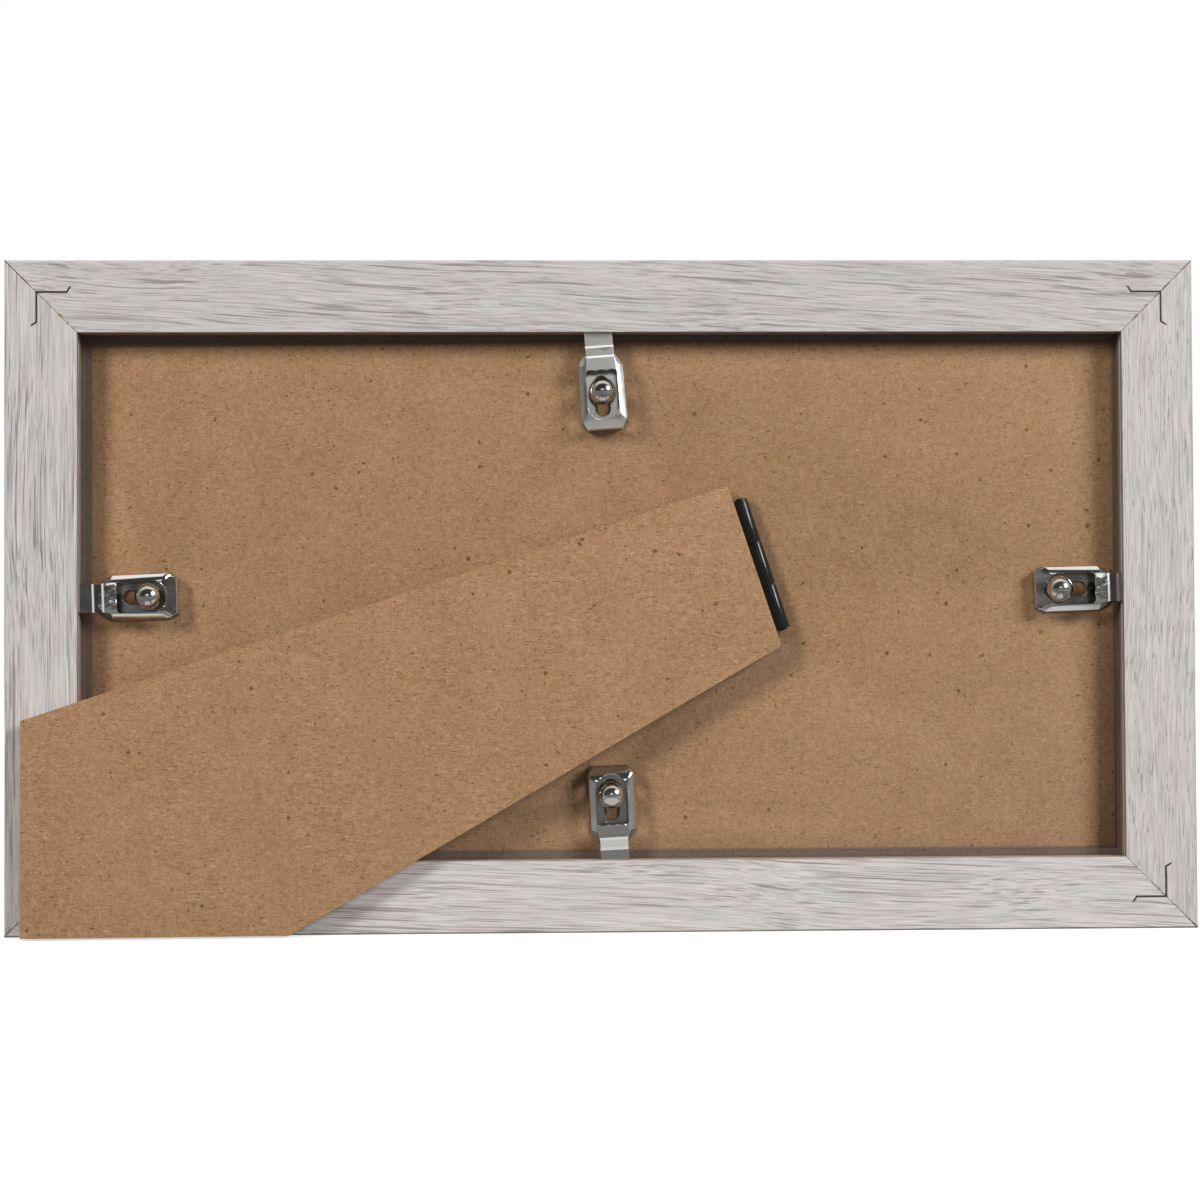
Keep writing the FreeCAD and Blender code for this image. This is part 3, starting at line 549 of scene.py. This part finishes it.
# A CAD node's shape with its loose triangles joined and its edges eased.
def easedCopy(name, node, material, body, ease):
    shape = bmesh.new()
    shape.from_mesh(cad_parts[node].data)
    bmesh.ops.remove_doubles(shape, verts=shape.verts, dist=copySizes["mergeGap"] * mm)
    flat = math.radians(copySizes["flatWithin"])
    bmesh.ops.dissolve_limit(shape, angle_limit=flat, verts=shape.verts, edges=shape.edges)
    piece = finishPiece(name, shape, material, body, node)
    bevel = piece.modifiers.new("Bevel", "BEVEL")
    bevel.width = ease * mm
    bevel.segments = copySizes["segments"]
    bevel.limit_method = "ANGLE"
    bevel.angle_limit = math.radians(copySizes["easeAbove"])
    bevel.harden_normals = True
    return piece


# Rails, boards and glass.
boardPieces = dict(
    backboardPanel=dict(node="backboard", material=boardMaterial, body="frame", ease=0.15, slot="board"),
    strutPanel=dict(node="easel_strut", material=strutMaterial, body="strut", ease=0.28, slot="strut_board"),
)


def dressRails():
    for node, cut in foilRails.items():
        dressNode(node, makeFoilMaterial(node + "_foil", **cut))
    dressNode("glass_pane", glassMaterial).visible_shadow = False    # so that the lamps light the sheet behind it
    dressNode("picture_sheet", paperMaterial)
    dressNode("board_leaf_rivets", blackMaterial)
    dressNode("strut_leaf_nails", nailMaterial)
    dressNode("corner_v_nails", nailMaterial)


def makeBoards():
    for name, made in boardPieces.items():
        easedCopy(name, made["node"], made["material"], made["body"], made["ease"])


# A dark card in the gap between the backboard and the rails, its colour a painted shade for the gap: its outer and
# inner edges as left, right, bottom, top.
gapShadeStrip = dict(
    outer=(-102.97, 102.97, 14.23, 118.17), inner=(-102.03, 102.53, 15.52, 116.98),
    back=-1.95, thickness=0.4,
)


def makeGapShadeStrip():
    shape = bmesh.new()
    for left, right, bottom, top in (gapShadeStrip["outer"], gapShadeStrip["inner"]):
        around = ((left, bottom), (right, bottom), (right, top), (left, top))
        corners = [shape.verts.new((x, gapShadeStrip["back"], z)) for x, z in around]
        for first, second in zip(corners, corners[1:] + corners[:1]):
            shape.edges.new((first, second))
    bmesh.ops.bridge_loops(shape, edges=shape.edges[:])
    result = bmesh.ops.extrude_face_region(shape, geom=shape.faces[:])
    bmesh.ops.translate(shape, verts=newVerts(result), vec=(0, gapShadeStrip["thickness"], 0))
    bmesh.ops.recalc_face_normals(shape, faces=shape.faces)
    strip = finishPiece("gapShadeStrip", shape, gapShadeMaterial, "frame", None, Matrix.Scale(mm, 4), smooth=False)


dressRails()
makeBoards()
makeGapShadeStrip()
print("rails and boards dressed")


# Clips. Lengths along a clip count from its window's tongue end, heights from the board.
clipSizes = dict(
    wall=0.4185, plateRise=4.5, plateHalf=3.5, shoulderHalf=3.2, tongueHalf=2.8,
    flangeRun=1.0, flangeDrop=0.85, footHalf=3.65, footLevel=0.5,
    foldBack=9.0, foldRun=2.25, foldDrop=1.5, foldTurn=((-0.1, -0.1), (-0.07, -0.18), (-0.03, -0.3)),
    plateLength=2.75, shoulder=1.3, joggleRun=2.2, tongueReach=8.7,
    joggle=((2.65, 0.2, 0.4), (3.05, 0.5, 1.65), (4.7, 0.2, 0.4)),            # where, drop, run
    windowHalf=3.1, windowLength=9.78, scallop=0.26, scallopInset=0.4, scallopRound=0.7,
    soleRise=0.495, soleHalf=4.5, soleReach=4.9, soleBack=0.15, slotHalf=1.5, slotStart=0.5, slotLength=8.1,
    bend=0.48, joggleBend=0.05, rim=0.1, innerRim=0.7, rimDrop=0.07, sharpAbove=42,
    dish=0.05, dishScale=(0.2, 0.3, 9),
    wrinkle=0.06, wrinkleScale=(0.9, 1.3, 7), wrinkleAt=1.2, wrinkleReach=1.6, wrinkleHalf=3.2,
)
# The plate's outline from the tongue to the foot: the corner that each point stands by, and how far off it.
plateOutline = (
    ("tip", 0, -0.2), ("tip", -0.2, 0), ("neck", 0.2, 0), ("neck", -0.5, 0.12),
    ("shoulder", 0.45, -0.12), ("shoulder", 0, 0.22), ("shoulder", -0.1, 0.5),
    ("flange", -0.02, -0.35), ("flange", -0.12, -0.14), ("flange", -0.35, -0.08),
    ("fold", -0.35, 0.05), ("fold", -0.6, -0.06), ("foot", 0.15, 0.05), ("foot", 0, -0.1),
)
windowCorner = ((-0.45, 0.02), (-0.15, -0.06), (0.0, -0.25))                 # along, and off the window's half width
soleFoot = ((1.5, 4.5), (0.1, 3.75), (0.0, 3.6))                             # off the sole's back end, and half width
# How finely the sheet is cut: everywhere, at the crinkled strip, at each bend across it, and at the flanges.
clipCuts = dict(step=0.42, strip=(-0.1, 2.6, 0.25), bendReach=0.32, bendStep=0.08, side=4.3,
                flanges=(3.2, 3.5), flangeReach=0.3, flangeStep=0.12, scallopStep=0.18, soleStep=0.8,
                soleArcs=(16, 10), footRim=(0.05, 0.02), onLine=0.004, mirrorGap=0.001, mergeGap=0.002)
# Ball place across and up, the way the tongue points, its turn and tilt in degrees, how far it stands out,
# how dull and how crinkled its plate is, how strong the painted highlight on its two bends is,
# and how much glossier the strip between them is.
clipPlaces = dict(
    top=dict(ball=(0.0, 106.6), way=(0, 1), turn=4.0, out=1.3, tilt=-2.0,
             dull=0.36, crinkle=0.1, bendHighlight=1.0, strip=-0.25),
    right=dict(ball=(90.6, 67.15), way=(1, 0), turn=1.5, out=4.1, tilt=2.2,
               dull=0.12, crinkle=1.0, bendHighlight=0.45, strip=0.65),
    bottom=dict(ball=(1.4, 26.9), way=(0, -1), turn=3.0, out=3.0, tilt=1.0,
                dull=0.12, crinkle=0.2, bendHighlight=0.75, strip=0.65),
    left=dict(ball=(-89.4, 66.4), way=(-1, 0), turn=2.0, out=3.2, tilt=0.5,
              dull=0.09, crinkle=0.8, bendHighlight=0.9, strip=0.65),
)
ballSizes = dict(
    radius=2.55, roundness=2.7, rise=3.3, neck=1.3, slideGap=0.1, sharpAbove=40, steps=64, profileStep=5,
    # radius and height of the neck's foot and its collar, down to the board
    foot=((1.326, 0.62), (1.378, 0.42), (1.3916, 0.3), (1.42, 0.14), (1.42, 0.02)),
    mergeGap=0.001,
)


def span(low, high, step):
    count = max(1, round(abs(high - low) / step))
    return [low + (high - low) * i / count for i in range(count + 1)]


def arc(middle, radius, first, last, steps=14):
    angles = [math.radians(a) for a in span(first, last, abs(last - first) / steps)]
    return [(middle + radius * math.cos(a), radius * math.sin(a)) for a in angles]


def softMin(a, b, width):
    h = max(width - abs(a - b), 0.0) / width
    return min(a, b) - h * h * width / 4


def waveAt(spot, scale):
    return noise.noise(Vector([value * size for value, size in zip(spot, scale)]))


# How high the plate stands at x along the clip and y across it.
def clipHeight(x, y, place, s):
    share = (s["shoulder"] - x) / (s["shoulder"] + s["foldBack"])
    half = s["shoulderHalf"] + (s["plateHalf"] - s["shoulderHalf"]) * share
    flange = s["plateRise"] - (abs(y) - half) * s["flangeDrop"] / s["flangeRun"]
    fold = s["plateRise"] + (x + s["foldBack"]) * s["foldDrop"] / s["foldRun"]
    z = s["plateRise"]
    for at, drop, run in s["joggle"]:
        step = s["plateRise"] - drop * min(max((x - at) / run, 0.0), 1.0)
        z += softMin(0.0, step - s["plateRise"], s["joggleBend"])
    z = softMin(z, flange, s["bend"])
    z = softMin(z, fold, s["bend"])
    lean = math.tan(math.radians(place["tilt"])) * max(0.0, s["plateLength"] - x)
    # 1 in the middle of the crinkled strip, 0 at its ends and sides
    near = max(0.0, 1 - abs(x - s["wrinkleAt"]) / s["wrinkleReach"]) * max(0.0, 1 - (abs(y) / s["wrinkleHalf"]) ** 4)
    wrinkle = s["wrinkle"] * place["crinkle"] * near * waveAt((x, y, place["crinkle"]), s["wrinkleScale"])
    dish = s["dish"] * waveAt((x, y, place["turn"]), s["dishScale"])
    return z - lean + wrinkle + (dish if x < s["plateLength"] else 0)


# Half of a flat outline, closed by its mirror image across the clip's middle line.
def mirroredSheet(points, s):
    shape = bmesh.new()
    shape.faces.new([shape.verts.new((x, y, 0)) for x, y in points])
    geom = shape.verts[:] + shape.edges[:] + shape.faces[:]
    bmesh.ops.mirror(shape, geom=geom, merge_dist=clipCuts["mirrorGap"], axis="Y")
    bmesh.ops.recalc_face_normals(shape, faces=shape.faces)
    for face in shape.faces:
        face.normal_update()
        if face.normal.z < 0:
            face.normal_flip()
    for width in (s["rim"], s["rim"] * s["innerRim"]):
        inside = [face for face in shape.faces if not face.tag]
        result = bmesh.ops.inset_region(shape, faces=inside, thickness=width, use_boundary=True, use_even_offset=True)
        for face in result["faces"]:
            face.tag = True
    return shape


def cutAt(shape, normal, places):
    for at in places:
        geom = shape.verts[:] + shape.edges[:] + shape.faces[:]
        bmesh.ops.bisect_plane(shape, geom=geom, plane_co=normal * at, plane_no=normal, dist=clipCuts["onLine"])


def clipTop(place, s):
    end = s["shoulder"]
    back = -s["foldBack"] - s["foldRun"]
    outer = s["plateHalf"] + s["flangeRun"]
    corners = dict(
        tip=(s["tongueReach"], s["tongueHalf"]), neck=(s["plateLength"], s["tongueHalf"]),
        shoulder=(end, s["shoulderHalf"]), flange=(end, outer),
        fold=(-s["foldBack"], outer), foot=(back, s["footHalf"]),
    )
    outside = [(corners[name][0] + along, corners[name][1] + across) for name, along, across in plateOutline]
    outside = [(s["tongueReach"], 0)] + outside + [(back, 0)]
    half = s["windowHalf"]
    window = arc(half - s["windowLength"], half, 180, 90)
    window += [(along, half + across) for along, across in windowCorner]
    for y in span(half - s["scallopInset"], 0, clipCuts["scallopStep"]):
        wave = abs(math.sin(math.pi * (y / (half / 3) / 2 + 0.5)))           # three scallops across the window
        window.append((s["scallop"] * wave ** s["scallopRound"], y))
    shape = mirroredSheet(outside + window, s)
    xs = span(back, s["tongueReach"], clipCuts["step"])[1:-1] + span(*clipCuts["strip"])
    reach = clipCuts["bendReach"]
    for at in (-s["foldBack"], s["plateLength"], s["plateLength"] + s["joggleRun"]):
        xs += span(at - reach, at + reach, clipCuts["bendStep"])
    ys = span(-clipCuts["side"], clipCuts["side"], clipCuts["step"])
    reach, step = clipCuts["flangeReach"], clipCuts["flangeStep"]
    for edge in clipCuts["flanges"]:
        ys += span(edge - reach, edge + reach, step) + span(-edge - reach, -edge + reach, step)
    cutAt(shape, Vector((1, 0, 0)), xs)
    cutAt(shape, Vector((0, 1, 0)), ys)
    rimFrom, footTo = (back + reach for reach in clipCuts["footRim"])
    rim = {vert for vert in shape.verts if vert.is_boundary and vert.co.x > rimFrom}
    for vert in shape.verts:
        vert.co.z = clipHeight(vert.co.x, vert.co.y, place, s) - (s["rimDrop"] if vert in rim else 0)
    # the fold turns down to the sole
    edges = [edge for edge in shape.edges if edge.is_boundary and all(vert.co.x < footTo for vert in edge.verts)]
    level = min(vert.co.z for edge in edges for vert in edge.verts)
    fallen = sum(dz for _, dz in s["foldTurn"])
    for dx, dz in s["foldTurn"] + ((0, s["footLevel"] - level - fallen),):
        result = bmesh.ops.extrude_edge_only(shape, edges=edges)
        bmesh.ops.translate(shape, verts=newVerts(result), vec=(dx, 0, dz))
        edges = newEdges(result)
    return shape


def clipSole(place, s):
    back = -s["foldBack"] - s["foldRun"] - s["soleBack"]
    slot = s["slotHalf"]
    noseSteps, slotSteps = clipCuts["soleArcs"]
    outline = arc(s["soleReach"] - s["soleHalf"], s["soleHalf"], 0, 90, noseSteps)
    outline += [(back + along, across) for along, across in soleFoot] + [(back, 0)]
    outline += arc(-s["slotStart"] - s["slotLength"] + slot, slot, 180, 90, slotSteps)
    outline += arc(-s["slotStart"] - slot, slot, 90, 0, slotSteps)
    shape = mirroredSheet(outline, s)
    cutAt(shape, Vector((1, 0, 0)), span(back, s["soleReach"], clipCuts["soleStep"])[1:-1])
    for vert in shape.verts:
        vert.co.z = s["soleRise"] - (s["rimDrop"] if vert.is_boundary else 0)
    return shape


def clipMatrix(place):
    across, up = place["way"]
    offBoard = Vector((0, -1, 0))
    out = Matrix.Rotation(math.radians(place["turn"]), 3, offBoard) @ Vector((across, 0, up))
    side = offBoard.cross(out)
    foot = Vector((place["ball"][0], boardFace, place["ball"][1]))
    foot += out * (ballSizes["radius"] + ballSizes["slideGap"] + place["out"])
    turned = Matrix((out, side, offBoard)).transposed().to_4x4()
    return Matrix.Scale(mm, 4) @ Matrix.Translation(foot) @ turned


# How wide the painted highlight on a bend is and how rough and metallic it is there, where the crinkled strip is
# and how far it reaches, and how the plate's gloss varies.
platingLook = dict(
    bendReach=(0.7, 0.4), highlightRough=0.55, highlightMetallic=0.4, betweenEdge=0.2,
    stripAt=1.5, stripReach=(2.9, 1.6), wave=0.5, dullRange=(0.8, 1.5), scuffShare=0.12, bump=0.4, bumpDepth=0.16,
)


# Plated sheet: scuffed gloss, tool marks between the window and the joggle, and a painted highlight on the joggle's
# two bends, white, rougher and less metallic.
def makeClipMaterial(side, place, matrix):
    look = platingLook
    material, tree, shader, spot = newMaterial(side + "ClipPlating", Metallic=1.0)
    low, high = (place["dull"] * share for share in look["dullRange"])
    scuffs = placeGroup(tree, scuffGroup, Vector=spot, Low=low, High=high, Size=1.0)
    foot, out = matrix @ Vector((0, 0, 0)) / mm, matrix.to_3x3() @ Vector((1, 0, 0)) / mm
    along = minus(tree, vectorMath(tree, "DOT_PRODUCT", spot, out)["Value"], foot.dot(out))
    bendHighlight = None
    for at, _, run in clipSizes["joggle"][::2]:
        off = sumUp(tree, "ABSOLUTE", minus(tree, along, at + run / 2))
        bend = spread(tree, off, *(run * share for share in look["bendReach"]), 0.0, place["bendHighlight"])
        bendHighlight = bend if bendHighlight is None else sumUp(tree, "MAXIMUM", bendHighlight, bend)
    at, _, run = clipSizes["joggle"][1]
    edge = look["betweenEdge"]
    between = times(tree, spread(tree, along, at, at + edge), spread(tree, along, at + run, at + run - edge))
    gloss = times(tree, scuffs["Roughness"], minus(tree, 1.0, times(tree, between, place["strip"])))
    tree.links.new(mixFloat(tree, bendHighlight, gloss, look["highlightRough"]), shader.inputs["Roughness"])
    # painted highlight: the bends turn white
    tree.links.new(blendColors(tree, bendHighlight, nickelColor, white), shader.inputs["Base Color"])
    tree.links.new(spread(tree, bendHighlight, 0.0, 1.0, 1.0, look["highlightMetallic"]), shader.inputs["Metallic"])
    centre = matrix @ Vector((look["stripAt"], 0, clipSizes["plateRise"])) / mm
    apart = vectorMath(tree, "LENGTH", mapped(tree, spot, shift=tuple(-c for c in centre)))["Value"]
    strip = spread(tree, apart, *look["stripReach"], 0.0, place["crinkle"])
    marks = times(tree, noiseOf(tree, spot, 1.0, 2, 0.5, look["wave"]), strip)
    height = sumUp(tree, "ADD", marks, times(tree, scuffs["Height"], look["scuffShare"]))
    bumpOn(tree, shader, height, look["bump"], look["bumpDepth"])
    return material


def makeClip(side, place):
    matrix = clipMatrix(place)
    plating = makeClipMaterial(side, place, matrix)
    layers = (("ClipPlate", clipTop, side + "_clip", plating), ("ClipSole", clipSole, None, soleMaterial))
    for name, make, node, finish in layers:
        shape = make(place, clipSizes)
        bmesh.ops.solidify(shape, geom=shape.faces[:], thickness=clipSizes["wall"])
        bmesh.ops.remove_doubles(shape, verts=shape.verts, dist=clipCuts["mergeGap"])
        piece = finishPiece(side + name, shape, finish, side + "_clip_body", node, matrix)
        piece.data.set_sharp_from_angle(angle=math.radians(clipSizes["sharpAbove"]))


for side, place in clipPlaces.items():
    makeClip(side, place)
print("clips made")


# Half of a ball rivet's outline, from its crown down to the board.
def ballProfile():
    r, rise = ballSizes["roundness"], ballSizes["rise"]
    low = math.degrees(math.asin(ballSizes["neck"] / r)) - 90
    angles = [math.radians(t) for t in span(90, low, ballSizes["profileStep"])]
    points = [(r * math.cos(a), rise + r * math.sin(a)) for a in angles]
    return [(0, rise + r)] + points[1:] + list(ballSizes["foot"])


def makeBalls():
    shape = bmesh.new()
    for place in clipPlaces.values():
        start = len(shape.verts)
        profile = [shape.verts.new((x, 0, z)) for x, z in ballProfile()]
        edges = [shape.edges.new(pair) for pair in zip(profile, profile[1:])]
        bmesh.ops.spin(shape, geom=profile + edges, cent=(0, 0, 0), axis=(0, 0, 1), dvec=(0, 0, 0),
                       angle=math.radians(360), steps=ballSizes["steps"], use_merge=True, use_duplicate=False)
        shape.verts.ensure_lookup_table()
        centre = Vector((place["ball"][0], boardFace, place["ball"][1]))
        matrix = Matrix.Translation(centre) @ Matrix.Rotation(math.radians(90), 4, "X")
        bmesh.ops.transform(shape, matrix=matrix, verts=shape.verts[start:])
    bmesh.ops.remove_doubles(shape, verts=shape.verts, dist=ballSizes["mergeGap"])
    bmesh.ops.holes_fill(shape, edges=shape.edges[:], sides=ballSizes["steps"])     # the rivets' flat feet
    bmesh.ops.recalc_face_normals(shape, faces=shape.faces)
    balls = finishPiece("ballRivets", shape, ballMaterial, "frame", "clip_rivets", Matrix.Scale(mm, 4))
    balls.data.set_sharp_from_angle(angle=math.radians(ballSizes["sharpAbove"]))


makeBalls()
print("ball rivets made")

hinge = dict(
    ease=0.06,
    pieces=(
        ("boardLeaf", "board_leaf", "frame"),
        ("strutLeaf", "strut_leaf", "strut"),
        ("hingePin", "hinge_pin", "frame"),
    ),
)
for name, node, body in hinge["pieces"]:
    easedCopy(name, node, blackMaterial, body, hinge["ease"])
print("hinge made")


# Studio, in metres. The floor's levels: its white to the camera, its bounce of light,
# and how far it is lifted to white.
floorLook = dict(
    size=6.0, below=0.00002, white=0.55, bounce=0.16, lift=0.62, fade=(0.4, 1.6), roughness=0.9,
    # the two patches on the floor that glow only where bright metal mirrors them, painted reflections
    card=0.55, cardReach=0.115, cardGap=(0.045, 0.065), cardDepth=(-0.075, 0.0), cardBlur=0.003,
)
# The room that bright metal mirrors: dark ahead, paler up and down and to the sides, with two pale cards,
# each with its reach across and up, as a direction, and its level.
roomLook = dict(
    ambient=0.1, background=1.0, backFrom=(-0.06, 0.02), dark=0.05,
    ringStart=(-0.46, -0.3), ring=(0.32, 1.0), ringUp=(0.45, 0.9),
    cards=(((-0.2, 0.2), (0.1, 0.28), 1.35), ((-0.4, 0.4), (0.93, 1.1), 1.1)), cardBlur=0.01, cardFrom=(0.0, -0.04),
)
# Where each softbox stands, its width and height, how much of a level 1 it gives a face turned to the camera,
# and whether bright metal mirrors it.
lampAim = (0.0, -0.005, 0.066)
lamps = dict(
    leftSoftbox=dict(place=(-1.63, -1.41, 1.06), size=(0.5, 0.83), level=0.462, mirrored=False),
    rightSoftbox=dict(place=(1.71, -1.41, 1.06), size=(0.83, 0.83), level=0.473),
    frontSoftbox=dict(place=(-0.55, 1.1, 0.8), size=(0.7, 0.7), level=0.75),
)
# The camera's place and aim in millimetres, and its focal length in pixels of the photograph.
cameraPlace = dict(
    place=(-13.15, -457.0, 56.11), aim=(-0.72, -7.0, 65.29), roll=-0.275,
    focal=2289.2, imageWidth=1200, sensor=36, near=0.01,
)


def makeFloorMaterial():
    material = bpy.data.materials.new("paleFloor")
    material.use_nodes = True
    tree = material.node_tree
    shader = tree.nodes["Principled BSDF"]
    shader.inputs["Roughness"].default_value = floorLook["roughness"]
    shader.inputs["Emission Color"].default_value = white
    ray = addNode(tree, "ShaderNodeLightPath").outputs
    seen = sumUp(tree, "MAXIMUM", ray["Is Camera Ray"], ray["Is Transmission Ray"])
    color = blendColors(tree, seen, toned(white, floorLook["bounce"]), toned(white, floorLook["white"]))
    tree.links.new(color, shader.inputs["Base Color"])
    spot = addNode(tree, "ShaderNodeTexCoord").outputs["Object"]
    parts = partsOf(tree, spot)
    aside = sumUp(tree, "ABSOLUTE", parts[0])
    near, far = floorLook["cardGap"]
    blur = floorLook["cardBlur"]
    middle, outer = windowOf(tree, aside, -1.0, near, blur), windowOf(tree, aside, far, floorLook["cardReach"], blur)
    card = times(tree, sumUp(tree, "MAXIMUM", middle, outer), windowOf(tree, parts[1], *floorLook["cardDepth"], blur))
    # painted reflection: the floor glows at the patches, for mirrored rays only
    gloss = times(tree, times(tree, ray["Is Glossy Ray"], card), floorLook["card"])
    lift = spread(tree, vectorMath(tree, "LENGTH", spot)["Value"], *floorLook["fade"], floorLook["lift"], 1.0)
    tree.links.new(sumUp(tree, "MULTIPLY_ADD", seen, lift, gloss), shader.inputs["Emission Strength"])
    return material


def makeFloor():
    shape = bmesh.new()
    bmesh.ops.create_grid(shape, x_segments=1, y_segments=1, size=floorLook["size"] / 2)
    bmesh.ops.translate(shape, verts=shape.verts, vec=(0, 0, -floorLook["below"]))
    mesh = bpy.data.meshes.new("floor")
    shape.to_mesh(mesh)
    shape.free()
    floor = bpy.data.objects.new("floor", mesh)
    bpy.context.scene.collection.objects.link(floor)
    mesh.materials.append(makeFloorMaterial())


# White behind the object. Metal also sees the room on the camera's side.
def makeWorld():
    look = roomLook
    world = bpy.data.worlds.new("studio")
    bpy.context.scene.world = world
    world.use_nodes = True
    tree = world.node_tree
    background = tree.nodes["Background"]
    parts = partsOf(tree, addNode(tree, "ShaderNodeTexCoord").outputs["Generated"])
    ring = spread(tree, sumUp(tree, "ABSOLUTE", parts[2]), *look["ringUp"], *look["ring"])
    room = mixFloat(tree, spread(tree, parts[1], *look["ringStart"]), look["dark"], ring)
    for across, up, level in look["cards"]:
        blur = look["cardBlur"]
        card = times(tree, windowOf(tree, parts[0], *across, blur), windowOf(tree, parts[2], *up, blur))
        room = mixFloat(tree, times(tree, card, spread(tree, parts[1], *look["cardFrom"])), room, level)
    mirrored = mixFloat(tree, spread(tree, parts[1], *look["backFrom"]), room, look["background"])
    ray = addNode(tree, "ShaderNodeLightPath").outputs
    mirror = sumUp(tree, "MAXIMUM", ray["Is Glossy Ray"], ray["Is Transmission Ray"])
    level = mixFloat(tree, mirror, look["ambient"], mirrored)
    tree.links.new(mixFloat(tree, ray["Is Camera Ray"], level, look["background"]), background.inputs["Strength"])
    background.inputs["Color"].default_value = white


def addLamp(name, place, size, level, mirrored=True):
    lamp = bpy.data.lights.new(name, "AREA")
    lamp.shape = "RECTANGLE"
    lamp.size, lamp.size_y = size
    way = Vector(place) - Vector(lampAim)
    lamp.energy = level * math.pi ** 2 * way.length ** 3 / abs(way.y)
    holder = bpy.data.objects.new(name, lamp)
    bpy.context.scene.collection.objects.link(holder)
    holder.location = place
    holder.rotation_euler = way.to_track_quat("Z", "Y").to_euler()
    holder.visible_glossy = mirrored


def makeCamera():
    camera = bpy.data.cameras.new("camera")
    camera.sensor_width = cameraPlace["sensor"]
    camera.lens = cameraPlace["focal"] / cameraPlace["imageWidth"] * camera.sensor_width
    camera.clip_start = cameraPlace["near"]
    holder = bpy.data.objects.new("camera", camera)
    bpy.context.scene.collection.objects.link(holder)
    place = Vector(cameraPlace["place"]) * mm
    look = (Vector(cameraPlace["aim"]) * mm - place).to_track_quat("-Z", "Y").to_matrix().to_4x4()
    roll = Matrix.Rotation(math.radians(cameraPlace["roll"]), 4, "Z")
    holder.matrix_world = Matrix.Translation(place) @ look @ roll
    bpy.context.scene.camera = holder


makeFloor()
makeWorld()
for name, lamp in lamps.items():
    addLamp(name, **lamp)
makeCamera()
bpy.context.scene.view_settings.view_transform = "Standard"
print("stage set")
